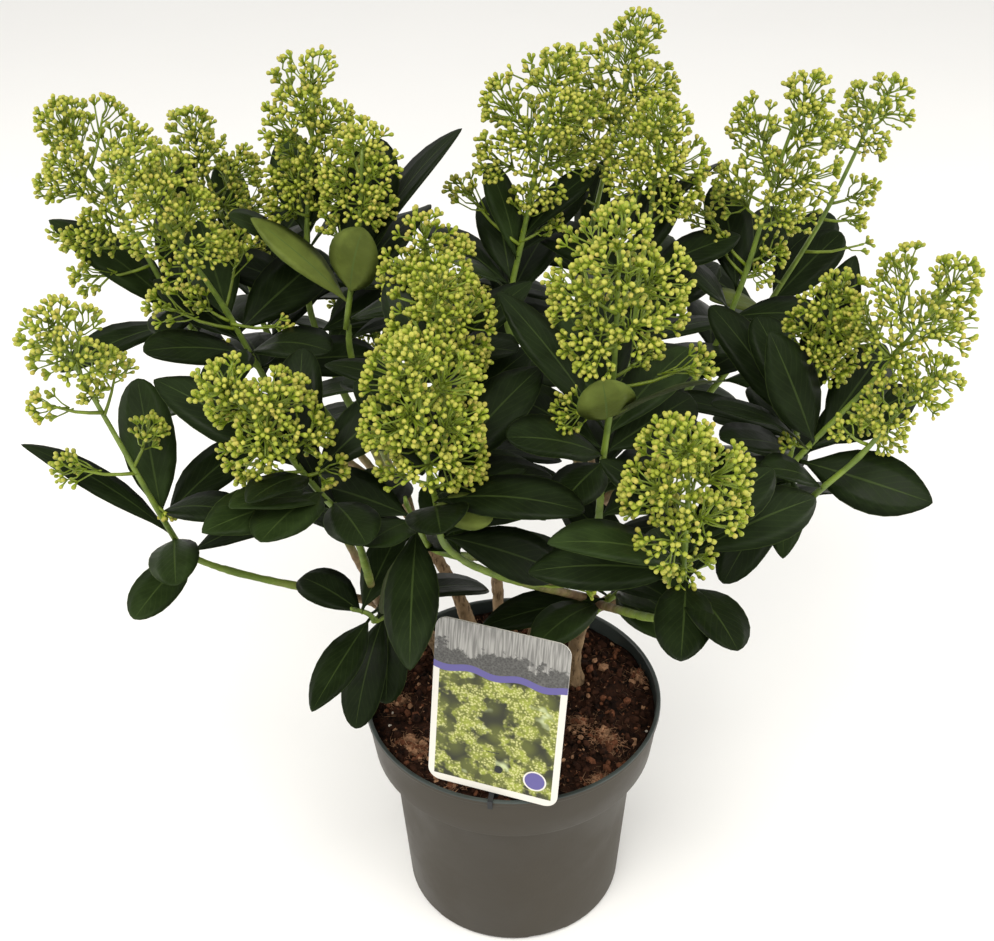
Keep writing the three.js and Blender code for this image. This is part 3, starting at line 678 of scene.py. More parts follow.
def apply_modifier(kind, **values):
    """Gives the active object a modifier and applies it."""
    piece = bpy.context.object
    modifier = piece.modifiers.new(kind.title(), kind)
    for key, value in values.items():
        setattr(modifier, key, value)
    bpy.ops.object.modifier_apply(modifier=modifier.name)


def settle(name, materials, slot, *nodes):
    """Names the active object, dresses it and hands it to the frame."""
    piece = bpy.context.object
    piece.name = piece.data.name = name
    for material in materials:
        piece.data.materials.append(material)
    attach(piece, "root")
    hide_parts(*nodes)
    begin()
    return piece


def turn_up(sides, outline):
    """A round shape, left in edit mode: a circle extruded ring by ring to each radius and height."""
    (radius, height), *rings = outline
    begin()
    bpy.ops.mesh.primitive_circle_add(vertices=sides, radius=radius, fill_type="NGON",
                                      location=(0, 0, height))
    apply_place()
    edit()
    choose_all()
    for next_radius, next_height in rings:
        scale = next_radius / radius
        extrude(0, 0, next_height - height)
        bpy.ops.transform.resize(value=(scale, scale, 1), center_override=(0, 0, next_height))
        radius, height = next_radius, next_height


def add_mesh(name, parts, smooth=True):
    """One object from parts, each (points, faces, slots) and maybe a chart: faces is an array with one row of
    corners a face, the chart has a place for each of those corners."""
    points, corners, totals, slots, first = [], [], [], [], 0
    charts = [part[3] for part in parts if len(part) > 3 and part[3] is not None]
    for part_points, faces, face_slots, *_ in parts:
        points.append(part_points.reshape(-1, 3))
        corners.append((faces + first).ravel())
        totals.append(np.full(len(faces), faces.shape[1]))
        slots.append(np.broadcast_to(face_slots, len(faces)))
        first += len(points[-1])
    points, corners = np.concatenate(points), np.concatenate(corners)
    totals, slots = np.concatenate(totals), np.concatenate(slots)
    mesh = bpy.data.meshes.new(name)
    mesh.vertices.add(len(points))
    mesh.vertices.foreach_set("co", points.astype(np.float32).ravel())
    mesh.loops.add(len(corners))
    mesh.loops.foreach_set("vertex_index", corners.astype(np.int32))
    mesh.polygons.add(len(totals))
    mesh.polygons.foreach_set("loop_start", (np.cumsum(totals) - totals).astype(np.int32))
    mesh.polygons.foreach_set("material_index", slots.astype(np.int32))
    mesh.polygons.foreach_set("use_smooth", np.full(len(totals), smooth))
    mesh.update(calc_edges=True)
    if charts:
        places = np.concatenate([chart.reshape(-1, 2) for chart in charts])
        mesh.uv_layers.new(name="UVMap").data.foreach_set("uv", places.astype(np.float32).ravel())
    mesh.validate()
    piece = bpy.data.objects.new(name, mesh)
    bpy.context.collection.objects.link(piece)
    take(piece)
    return piece


class Model:
    """The points, faces and slots of a shape that is modelled once and then copied; the object goes."""

    def __init__(self):
        piece = bpy.context.object
        mesh = piece.data
        mesh.calc_loop_triangles()
        self.points = np.array([v.co for v in mesh.vertices])
        self.faces = np.array([t.vertices for t in mesh.loop_triangles])
        owners = np.array([t.polygon_index for t in mesh.loop_triangles])
        self.slots = np.array([p.material_index for p in mesh.polygons])[owners]
        loops = np.array([t.loops for t in mesh.loop_triangles])
        chart = mesh.uv_layers[0].data if mesh.uv_layers else None
        self.chart = None if chart is None else np.array([entry.uv for entry in chart])[loops]
        bpy.data.objects.remove(piece)
        bpy.data.meshes.remove(mesh)

    def copies(self, points, slots=None):
        """One part of many copies: points is (copies, corners, 3); slots adds to each copy's own slots."""
        count, corners = points.shape[:2]
        faces = self.faces[None] + (np.arange(count) * corners)[:, None, None]
        own = np.tile(self.slots, (count, 1))
        if slots is not None:
            own = own + np.asarray(slots)[:, None]
        chart = None if self.chart is None else np.tile(self.chart, (count, 1, 1))
        return points, faces.reshape(-1, 3), own.ravel(), chart


def sides_of(directions):
    """For each direction, two unit vectors square to it."""
    spare = np.where(np.abs(directions[..., 2:3]) > 0.9, (1.0, 0.0, 0.0), (0.0, 0.0, 1.0))
    first = unit(np.cross(spare, directions))
    return first, np.cross(directions, first)


def tubes(lines, radii, sides, slot=0):
    """Round tubes with closed ends along lines, (count, rings, 3), with radii (count, rings)."""
    count, rings = lines.shape[:2]
    tangents = unit(np.gradient(lines, axis=1))
    first, _ = sides_of(unit(lines[:, -1] - lines[:, 0]))
    across = unit(first[:, None] - tangents * (first[:, None] * tangents).sum(-1, keepdims=True))
    upward = np.cross(tangents, across)
    turn = np.arange(sides) * 2 * math.pi / sides
    ring = np.cos(turn)[:, None] * across[:, :, None] + np.sin(turn)[:, None] * upward[:, :, None]
    points = lines[:, :, None] + ring * radii[:, :, None, None]
    here = np.arange(rings - 1)[:, None] * sides + np.arange(sides)
    after = np.arange(rings - 1)[:, None] * sides + (np.arange(sides) + 1) % sides
    walls = np.stack([here, after, after + sides, here + sides], axis=-1).reshape(-1, 4)
    caps = np.stack([np.arange(sides)[::-1], (rings - 1) * sides + np.arange(sides)])
    shift = (np.arange(count) * rings * sides)[:, None, None]
    return [(points.reshape(-1, 3), (walls + shift).reshape(-1, 4), slot),
            (np.zeros((0, 3)), (caps + shift).reshape(-1, sides) - count * rings * sides, slot)]


# Materials


# The kinds of a group's sockets, and a mix node's sockets for colours, by index, because its sockets for
# numbers and vectors have the same names
FLOAT, COLOUR = "NodeSocketFloat", "NodeSocketColor"
MIX_MASK, MIX_FIRST, MIX_SECOND, MIX_RESULT = 0, 6, 7, 2
COAT_ROUGHNESS = 0.3
DULL = (0.1, 0.1, 0.1, 1)


class Grain(NamedTuple):
    """A fine relief: its scale, how strongly it shows, its depth, and the share of a coarser wave under
    it."""

    scale: float
    strength: float
    depth: float
    coarse: float = 0.5


class Graph:
    """A shader's node tree under way."""

    def __init__(self, tree):
        self.tree = tree

    def node(self, kind, **settings):
        made = self.tree.nodes.new(kind)
        for key, value in settings.items():
            setattr(made, key, value)
        return made

    def feed(self, socket, value):
        """Links a value that is a socket, and sets any other."""
        if hasattr(value, "links"):
            self.tree.links.new(value, socket)
        elif socket.type == "RGBA":
            socket.default_value = (*value, 1)
        else:
            socket.default_value = value

    def fed(self, kind, inputs, **settings):
        """A new node with values for its inputs, by name or index."""
        made = self.node(kind, **settings)
        for key, value in inputs.items():
            self.feed(made.inputs[key], value)
        return made

    def place(self):
        return self.node("ShaderNodeTexCoord").outputs["Object"]

    def chart(self):
        return self.node("ShaderNodeUVMap", uv_map="UVMap").outputs["UV"]

    def stretched(self, vector, scale):
        return self.fed("ShaderNodeMapping", {"Vector": vector, "Scale": scale}).outputs["Vector"]

    def parted(self, vector):
        """The X, Y and Z of a vector."""
        return self.fed("ShaderNodeSeparateXYZ", {0: vector}).outputs

    def clouds(self, place, scale, **inputs):
        """A soft noise round one half."""
        return self.fed("ShaderNodeTexNoise", {"Vector": place, "Scale": scale, **inputs}).outputs["Fac"]

    def cells(self, place, scale, randomness=1.0):
        """The distance from the middle of the nearest cell."""
        inputs = {"Vector": place, "Scale": scale, "Randomness": randomness}
        return self.fed("ShaderNodeTexVoronoi", inputs).outputs["Distance"]

    def maths(self, operation, first, second=0.0):
        return self.fed("ShaderNodeMath", {0: first, 1: second}, operation=operation).outputs[0]

    def times(self, first, second):
        return self.maths("MULTIPLY", first, second)

    def less(self, first, second):
        return self.maths("SUBTRACT", first, second)

    def off_middle(self, value):
        """How far a value is from one half."""
        return self.maths("ABSOLUTE", self.less(value, 0.5))

    def ranged(self, value, low, high, to_low=0.0, to_high=1.0):
        """A value brought smoothly from one range to another."""
        inputs = {"Value": value, "From Min": low, "From Max": high, "To Min": to_low, "To Max": to_high}
        return self.fed("ShaderNodeMapRange", inputs, interpolation_type="SMOOTHSTEP").outputs[0]

    def mixed(self, mask, first, second):
        """Colours mixed by a mask."""
        inputs = {MIX_MASK: mask, MIX_FIRST: first, MIX_SECOND: second}
        return self.fed("ShaderNodeMix", inputs, data_type="RGBA").outputs[MIX_RESULT]


class Group(Graph):
    """A new shader node group: its inputs with their defaults, its outputs with their kinds."""

    def __init__(self, name, inputs, outputs):
        super().__init__(bpy.data.node_groups.new(name, "ShaderNodeTree"))
        for label, default in inputs.items():
            kind = FLOAT if isinstance(default, float) else COLOUR
            socket = self.tree.interface.new_socket(label, in_out="INPUT", socket_type=kind)
            socket.default_value = default
        for label, kind in outputs.items():
            self.tree.interface.new_socket(label, in_out="OUTPUT", socket_type=kind)
        self.ins = self.node("NodeGroupInput").outputs
        self.outs = self.node("NodeGroupOutput").inputs

    def give(self, **values):
        for label, value in values.items():
            self.feed(self.outs[label], value)


def mottle_group():
    """Two colours that drift into each other at one scale, and the mask of the drift."""
    made = Group("Mottle", {"First": (1, 1, 1, 1), "Second": (0, 0, 0, 1), "Scale": 40.0, "Detail": 4.0},
                 {"Color": COLOUR, "Mask": FLOAT})
    cloud = made.clouds(made.place(), made.ins["Scale"], Detail=made.ins["Detail"], Roughness=0.55)
    mask = made.ranged(cloud, 0.32, 0.68)
    made.give(Color=made.mixed(mask, made.ins["First"], made.ins["Second"]), Mask=mask)


def relief_group():
    """Height of a fine grain with a coarser wave under it."""
    coarse_scale = 0.17
    made = Group("Relief", {"Scale": 400.0, "Coarse share": 0.5}, {"Height": FLOAT})
    place, scale = made.place(), made.ins["Scale"]
    wave = made.clouds(place, made.times(scale, coarse_scale), Detail=2.0)
    made.give(Height=made.maths("ADD", made.clouds(place, scale, Detail=3.0),
                                made.times(wave, made.ins["Coarse share"])))


def vein_group():
    """Masks of a leaf's midrib, side veins and margin on its chart, and their height."""
    rib_width, vein_pairs, vein_slant, vein_height = 0.034, 13.0, 8.0, -0.25
    made = Group("Veins", {"Breadth": 1.0}, dict.fromkeys(("Midrib", "Veins", "Margin", "Height"), FLOAT))
    reach, across, _ = made.parted(made.chart())
    aside = made.off_middle(across)
    narrowing = made.times(made.less(1.12, reach), made.ins["Breadth"])
    share = made.maths("DIVIDE", aside, made.times(narrowing, rib_width))
    midrib = made.ranged(share, 0.55, 1.0, 1.0, 0.0)
    slant = made.less(made.times(reach, vein_pairs), made.times(aside, vein_slant))
    veins = made.ranged(made.off_middle(made.maths("FRACT", slant)), 0.04, 0.14, 1.0, 0.0)
    grain = made.clouds(made.place(), 260.0, Detail=3.0)
    height = made.maths("ADD", made.times(veins, vein_height), grain)
    margin = made.ranged(aside, 0.475, 0.492)
    made.give(Midrib=midrib, Veins=veins, Margin=margin, Height=made.less(height, midrib))


class Finish(Graph):
    """A material under way, with its shader and the shared groups."""

    def __init__(self, name, roughness, specular=0.5, coat=0.0):
        self.material = bpy.data.materials.new(name)
        self.material.use_nodes = True
        super().__init__(self.material.node_tree)
        self.shader = self.tree.nodes["Principled BSDF"]
        for label, value in (("Roughness", roughness), ("Specular IOR Level", specular),
                             ("Coat Weight", coat), ("Coat Roughness", COAT_ROUGHNESS)):
            self.shader.inputs[label].default_value = value

    def shared(self, name, inputs):
        return self.fed("ShaderNodeGroup", inputs, node_tree=bpy.data.node_groups[name]).outputs

    def mottle(self, first, second, scale, detail=4.0):
        made = self.shared("Mottle", {"First": first, "Second": second, "Scale": scale, "Detail": detail})
        return made["Color"], made["Mask"]

    def colour(self, socket):
        self.feed(self.shader.inputs["Base Color"], socket)
        self.shader.inputs["Base Color"].default_value = DULL
        return self

    def roughness(self, mask, low, high):
        self.feed(self.shader.inputs["Roughness"], self.ranged(mask, 0, 1, low, high))
        return self

    def relief(self, grain):
        made = self.shared("Relief", {"Scale": grain.scale, "Coarse share": grain.coarse})
        return self.bump(made["Height"], grain.strength, grain.depth)

    def bump(self, height, strength, depth):
        made = self.fed("ShaderNodeBump", {"Strength": strength, "Distance": depth, "Height": height})
        self.feed(self.shader.inputs["Normal"], made.outputs["Normal"])
        return self


def plain_finish(name, first, second, scale, rough, grain=None, specular=0.5, detail=4.0):
    """A mottled material: two colours, the scale of their drift, the range of roughness and a fine relief."""
    finish = Finish(name, rough[0], specular)
    drift, mask = finish.mottle(first, second, scale, detail)
    finish.colour(drift).roughness(mask, *rough)
    if grain:
        finish.relief(grain)
    return finish.material


def tinted(tint, share):
    return tuple(min(1.0, channel * share) for channel in tint)


# Pot


class SKIMMIA_OT_pot(bpy.types.Operator):
    """Model the nursery pot: foot, body, collar and lip in one shell, with drain slots cut into the foot"""

    bl_idname = "skimmia.pot"
    bl_label = "Pot"

    def execute(self, context):
        pot = context.scene.skimmia_pot
        turn_up(96, self.outline(pot))
        shell = close_up()
        self.cut_slots(pot, shell)
        self.dress_rim(pot, shell)
        bpy.ops.object.shade_smooth_by_angle(angle=math.radians(32))
        settle("pot_shell", [self.plastic(pot), self.rim_plastic(pot)], "plastic", "pot")
        return {"FINISHED"}

    def outline(self, pot):
        """Radius and height of each ring, from the foot up the outside and down the inside."""
        collar_foot = pot.height - pot.collar_depth
        lip_foot = pot.height - pot.lip_depth
        bevel, lip, wall = pot.foot_bevel, pot.lip_round, pot.wall
        inner = pot.rim_radius - lip - wall
        turn_in, fillet, rim_round, chamfer = 0.0026, 0.0022, 0.0009, 0.0005
        return [
            (pot.foot_radius - bevel, 0.0),
            (pot.foot_radius - bevel * 0.45, bevel * 0.16),
            (pot.foot_radius - bevel * 0.12, bevel * 0.5),
            (pot.foot_radius, bevel),
            (lerp(pot.foot_radius, pot.neck_radius, 0.33), lerp(bevel, collar_foot, 0.33)),
            (lerp(pot.foot_radius, pot.neck_radius, 0.66), lerp(bevel, collar_foot, 0.66)),
            (pot.neck_radius - 0.0004, collar_foot - 0.003),
            (pot.neck_radius + 0.0006, collar_foot - 0.0004),
            (pot.neck_radius + fillet, collar_foot),
            (pot.collar_radius - turn_in, collar_foot),
            (pot.collar_radius - turn_in * 0.35, collar_foot + turn_in * 0.3),
            (pot.collar_radius, collar_foot + turn_in),
            (lerp(pot.collar_radius, pot.rim_radius - lip, 0.5), lerp(collar_foot, lip_foot, 0.5)),
            (pot.rim_radius - lip, lip_foot - 0.0003),
            (pot.rim_radius - lip * 0.25, lip_foot + lip * 0.35),
            (pot.rim_radius, lip_foot + lip),
            (pot.rim_radius, pot.height - rim_round),
            (pot.rim_radius - 0.0003, pot.height - 0.0003),
            (pot.rim_radius - rim_round, pot.height),
            (inner + chamfer, pot.height),
            (inner, pot.height - 0.0006),
            (inner, lip_foot),
            (pot.collar_radius - wall, collar_foot + wall),
            (pot.neck_radius - wall, collar_foot + wall),
            (pot.foot_radius - wall, pot.floor),
        ]

    def cut_slots(self, pot, shell):
        """Cuts the drain slots with rounded blocks."""
        cutters = []
        for index in range(pot.slots):
            begin()
            around = pot.slot_turn + 2 * math.pi * index / pot.slots
            place = (pot.foot_radius * math.cos(around), pot.foot_radius * math.sin(around), 0)
            bpy.ops.mesh.primitive_cube_add(size=1, location=place, rotation=(0, 0, around),
                                            scale=(4 * pot.foot_bevel, pot.slot_width, 2 * pot.slot_height))
            edit()
            choose_all()
            bpy.ops.mesh.bevel(offset=pot.slot_round, segments=2, affect="EDGES")
            cutters.append(leave_edit())
        cutter = join(*cutters)
        apply_place()
        take(shell)
        apply_modifier("BOOLEAN", object=cutter, operation="DIFFERENCE", solver="EXACT")
        bpy.data.objects.remove(cutter)

    def dress_rim(self, pot, shell):
        """The top of the lip and the inside take the darker plastic."""
        edge, inward_share = pot.height - 0.0012, -0.3
        for face in shell.data.polygons:
            middle, normal = face.center, face.normal
            inward = middle.x * normal.x + middle.y * normal.y < inward_share * middle.xy.length
            face.material_index = int(middle.z > edge or (inward and middle.z > pot.floor))

    def plastic(self, pot):
        """Moulded plastic with a little dust and rare specks of dirt."""
        finish = Finish("pot plastic", roughness=0.5, specular=0.22)
        drift, mask = finish.mottle(tinted(pot.plastic, 0.93), tinted(pot.plastic, 1.08), scale=14, detail=5)
        place = finish.place()
        specks = finish.ranged(finish.cells(place, 130.0), 0.03, 0.06, 1.0, 0.0)
        dirt = finish.times(specks, finish.ranged(finish.clouds(place, 22.0), 0.6, 0.66))
        dust = finish.ranged(finish.clouds(place, 5.0, Detail=6.0, Roughness=0.7), 0.5, 0.75, 0.0, 0.22)
        tone = finish.mixed(dust, drift, tinted(pot.plastic, 1.55))
        finish.colour(finish.mixed(dirt, tone, tinted(pot.plastic, 0.25))).roughness(mask, 0.44, 0.6)
        return finish.relief(Grain(scale=900, strength=0.12, depth=0.0004, coarse=1.6)).material

    def rim_plastic(self, pot):
        return plain_finish("pot rim plastic", tinted(pot.rim, 0.8), tinted(pot.rim, 1.5), scale=30,
                            rough=(0.35, 0.55), grain=Grain(scale=700, strength=0.1, depth=0.0004))


# Peat


# The fibrous lumps in the peat, in millimetres
LUMPS = ((61, -39), (56, -34), (42, -21), (-66, -34), (-60, -41), (-75, 1), (84, 24), (52, -70), (-38, -70),
         (10, 72))
SOIL_GAP = 0.3 * MM
BED_RINGS = 44
SUNK_FIBRE = 1.2 * MM
# Sizes of what lies on the peat, in metres: the least of them and how much more the greatest has
CRUMB_SIZE, LUMP_CRUMB_SIZE, PEARL_SIZE = (0.0007, 0.0030), (0.0010, 0.0020), (0.0006, 0.0009)
FIBRE_HALF, FIBRE_RADIUS, FIBRE_TAPER = (0.0015, 0.0050), (0.00013, 0.00024), np.array((0.5, 1, 0.9, 0.4))
# The shares of crumbs of peat, of drier peat, of bark and of fibre
CRUMB_SHARES = (0.44, 0.33, 0.17, 0.06)
BARK_TONE, FIBRE_TONE, PEARL_TONE = 2, 3, 4
LUMP_CRUMB_SPREAD, LUMP_FIBRE_SPREAD = 3.2 * MM, 4.2 * MM
SOIL_SEED, CRUMB_SEED = 11, 4


def soil_edge(pot):
    """Radius of the peat where it meets the collar's inner face."""
    share = (SOIL_LEVEL - (pot.height - pot.collar_depth)) / (pot.collar_depth - pot.lip_depth)
    return lerp(pot.collar_radius, pot.rim_radius - pot.lip_round, share) - pot.wall - SOIL_GAP


def soil_height(x, y, soil, edge):
    """Height of the peat's surface: flat in the middle, lower to the edge, with lumps and a wider swell."""
    flat, falling, lump_scale, swell_scale = 0.55, 0.45, 70, 22
    heap = soil.crown * max(0.0, (math.hypot(x, y) / edge - flat) / falling) ** 1.6
    lumps = noise.fractal(Vector((x * lump_scale, y * lump_scale, 3.7)), 0.9, 2.1, 4)
    swell = noise.noise(Vector((x * swell_scale, y * swell_scale, 9.1)))
    return SOIL_LEVEL - heap + soil.relief * (0.55 * lumps + 0.6 * swell - 0.35)


def soil_heights(places, soil, edge):
    return np.array([soil_height(x, y, soil, edge) for x, y in places])


def mound(away, height, breadth):
    """Height of a round mound at places away from its middle."""
    return height * np.exp(-(away ** 2).sum(axis=1) / breadth ** 2)


class SKIMMIA_OT_soil(bpy.types.Operator):
    """Model the peat: a lumpy bed, crumbs, fibres in tufts and a few pale grains"""

    bl_idname = "skimmia.soil"
    bl_label = "Peat"

    def execute(self, context):
        soil, pot = context.scene.skimmia_soil, context.scene.skimmia_pot
        edge = soil_edge(pot)
        self.rng = np.random.default_rng(SOIL_SEED)
        peat = plain_finish("peat", soil.peat, soil.peat_pale, scale=170, rough=(0.8, 1.0), specular=0.1,
                            grain=Grain(scale=1300, strength=0.9, depth=0.0012, coarse=1.2), detail=8.0)
        self.bed(soil, pot, edge, peat)
        self.crumbs(soil, edge, peat)
        self.fibres(soil, edge)
        return {"FINISHED"}

    def bed(self, soil, pot, edge, peat):
        """The bed of peat, a disc in fine rings with its surface raised and lowered."""
        begin()
        foot = pot.height - pot.collar_depth + pot.wall + SOIL_GAP
        depth = SOIL_LEVEL - foot
        bpy.ops.mesh.primitive_cylinder_add(vertices=144, radius=edge, depth=depth,
                                            location=(0, 0, foot + depth / 2), end_fill_type="NGON")
        apply_place()
        edit()
        narrow = (pot.collar_radius - pot.wall - SOIL_GAP) / edge
        choose(lambda corner: corner.co.z < foot + depth / 2)
        bpy.ops.transform.resize(value=(narrow, narrow, 1), center_override=(0, 0, foot))
        choose(lambda face: face.normal.z > 0.9, "FACE")
        for _ in range(BED_RINGS):
            bpy.ops.mesh.inset(thickness=edge / (BED_RINGS + 2))
        bpy.ops.mesh.poke()
        for corner in leave_edit().data.vertices:
            if corner.co.z > SOIL_LEVEL - 1e-4:
                corner.co.z = soil_height(corner.co.x, corner.co.y, soil, edge)
        bpy.ops.object.shade_smooth()
        settle("soil_bed", [peat], "peat", "soil")

    def spread(self, count, edge):
        """Places on the peat, even over its area."""
        covered = 0.985
        reach = edge * covered * np.sqrt(self.rng.random(count))
        around = self.rng.random(count) * 2 * math.pi
        return np.stack([reach * np.cos(around), reach * np.sin(around)], axis=-1)

    def sizes(self, count, least, more, power=1.0):
        return least + more * self.rng.random(count) ** power

    def crumbs(self, soil, edge, peat):
        """Crumbs all over the peat, more of them in the lumps, and the pale grains."""
        begin()
        bpy.ops.mesh.primitive_ico_sphere_add(subdivisions=1, radius=1)
        edit()
        choose_all()
        bpy.ops.transform.vertex_random(offset=0.35, seed=CRUMB_SEED)
        leave_edit()
        crumb = Model()
        lumps = len(LUMPS) * soil.lump_crumbs
        count = soil.crumbs + lumps + soil.pearls
        places = self.spread(count, edge)
        size = self.sizes(count, *CRUMB_SIZE, power=3.4)
        tone = self.rng.choice(len(CRUMB_SHARES), count, p=CRUMB_SHARES)
        lift = size * 0.3
        in_lump = slice(soil.crumbs, soil.crumbs + lumps)
        away = self.rng.normal(0, LUMP_CRUMB_SPREAD, (lumps, 2))
        places[in_lump] = np.repeat(LUMPS, soil.lump_crumbs, axis=0) * MM + away
        size[in_lump] = self.sizes(lumps, *LUMP_CRUMB_SIZE)
        tone[in_lump] = self.rng.choice((BARK_TONE, FIBRE_TONE), lumps, p=(0.55, 0.45))
        lift[in_lump] = mound(away, height=0.0032, breadth=0.0045)
        size[-soil.pearls:] = self.sizes(soil.pearls, *PEARL_SIZE)
        tone[-soil.pearls:] = PEARL_TONE
        heights = soil_heights(places, soil, edge) + lift
        centres = np.concatenate([places, heights[:, None]], axis=1)
        keep = np.hypot(centres[:, 0], centres[:, 1]) + size * 1.3 < edge
        shaped = crumb.points[None] * self.rng.uniform(0.5, 1.2, (count, 1, 3)) * size[:, None, None]
        points = np.einsum("nij,ncj->nci", turning(self.rng, count), shaped) + centres[:, None]
        add_mesh("soil_crumbs", [crumb.copies(points[keep], tone[keep])], smooth=False)
        tints = {"peat crumb": soil.peat_pale, "bark crumb": soil.bark,
                 "fibre crumb": tinted(soil.fibre, 0.8), "mineral grain": soil.pearl}
        grain = Grain(scale=1500, strength=0.7, depth=0.0008)
        dusts = [plain_finish(name, tinted(tint, 0.7), tinted(tint, 1.4), scale=300, rough=(0.75, 0.95),
                              grain=grain, specular=0.06) for name, tint in tints.items()]
        settle("soil_crumbs", [peat, *dusts], "peat")

    def fibres(self, soil, edge):
        """Fibres all over the peat, and the paler ones that make up the lumps."""
        lumps = len(LUMPS) * soil.lump_fibres
        loose = self.strands(self.spread(soil.fibres, edge), np.full(soil.fibres, 0.0002), soil, edge)
        away = self.rng.normal(0, LUMP_FIBRE_SPREAD, (lumps, 2))
        lift = mound(away, height=0.0050, breadth=0.005) * self.rng.random(lumps)
        places = np.repeat(LUMPS, soil.lump_fibres, axis=0) * MM + away
        tufted = self.strands(places, lift, soil, edge, slot=1)
        add_mesh("soil_fibres", loose + tufted)
        grain = Grain(scale=2500, strength=0.4, depth=0.0003)
        tints = {"fibre": tinted(soil.fibre, 0.4), "pale fibre": soil.fibre}
        skins = [plain_finish(name, tint, tinted(tint, 0.45), scale=60, rough=(0.6, 0.85), grain=grain,
                              specular=0.08) for name, tint in tints.items()]
        settle("soil_fibres", skins, "peat")

    def strands(self, places, lift, soil, edge, slot=0):
        """Short curved fibres that lie on the peat at the places, lifted off it."""
        count, widest = len(places), 0.95
        reach = np.linalg.norm(places, axis=1, keepdims=True)
        places = np.where(reach > edge * widest, places / reach * edge * widest, places)
        ground = soil_heights(places, soil, edge)
        middle = np.concatenate([places, (ground + lift)[:, None]], axis=1)
        toward = self.rng.random(count) * 2 * math.pi
        rise = self.rng.normal(0.1, 0.3, count)
        level = np.cos(rise)
        ahead = np.stack([np.cos(toward) * level, np.sin(toward) * level, np.sin(rise)], axis=-1)
        half = self.sizes(count, *FIBRE_HALF, power=2)[:, None]
        aside = np.stack([-np.sin(toward), np.cos(toward), np.zeros(count)], axis=-1)
        curl = self.rng.normal(0, 0.35, (count, 1)) * half
        shares = (-1.0, -0.35, 0.35, 1.0)
        lines = np.stack([middle + ahead * half * s + aside * curl * (1 - s * s) for s in shares], axis=1)
        lines[..., 2] = np.maximum(lines[..., 2], ground[:, None] - SUNK_FIBRE)
        inside = np.linalg.norm(lines[..., :2], axis=-1).max(axis=1) < edge - 0.0004
        thick = self.sizes(count, *FIBRE_RADIUS)[:, None] * FIBRE_TAPER
        return tubes(lines[inside], thick[inside], 3, slot)


def turning(rng, count):
    """Seeded turning matrices, even over all directions."""
    quaternion = unit(rng.normal(size=(count, 4)))
    w, x, y, z = quaternion.T
    rows = [1 - 2 * (y * y + z * z), 2 * (x * y - z * w), 2 * (x * z + y * w),
            2 * (x * y + z * w), 1 - 2 * (x * x + z * z), 2 * (y * z - x * w),
            2 * (x * z - y * w), 2 * (y * z + x * w), 1 - 2 * (x * x + y * y)]
    return np.stack(rows, axis=-1).reshape(-1, 3, 3)


# Label


# The label's foot in the pot; the stake behind the card, with the share of its width at its foot; the pin
# that holds the card; and the clip from the stake over the pot's lip, with the length of its hook
LABEL_FOOT = (-0.014, -0.087, 0.159)
STAKE_SIZE, STAKE_PLACE, STAKE_POINT, STAKE_BEVEL = (0.009, 0.002, 0.063), (0, 0.0035, -0.0005), 0.45, 0.0004
PIN_OUTLINE = ((0.0024, 0.0), (0.0024, 0.0007), (0.0019, 0.0012), (0.0009, 0.0014))
PIN_PLACE = (0.0035, 0.019)
CLIP_SIZE, CLIP_PLACE, CLIP_HOOK = (0.0098, 0.003, 0.0011), (0.0905, 0, 0.158), 0.005
# The card's print, as shares of its width and height: where the violet wave starts and ends, the white
# border at the sides and the foot, and the violet disc, whose radius and white ring are in metres
WAVE_LOW, WAVE_HIGH, SIDE_BORDER, FOOT_BORDER = 0.70, 0.74, 0.452, 0.042
DISC_PLACE, DISC_RADIUS, RING_RADIUS = (0.82, 0.14), 0.0062, 0.0072


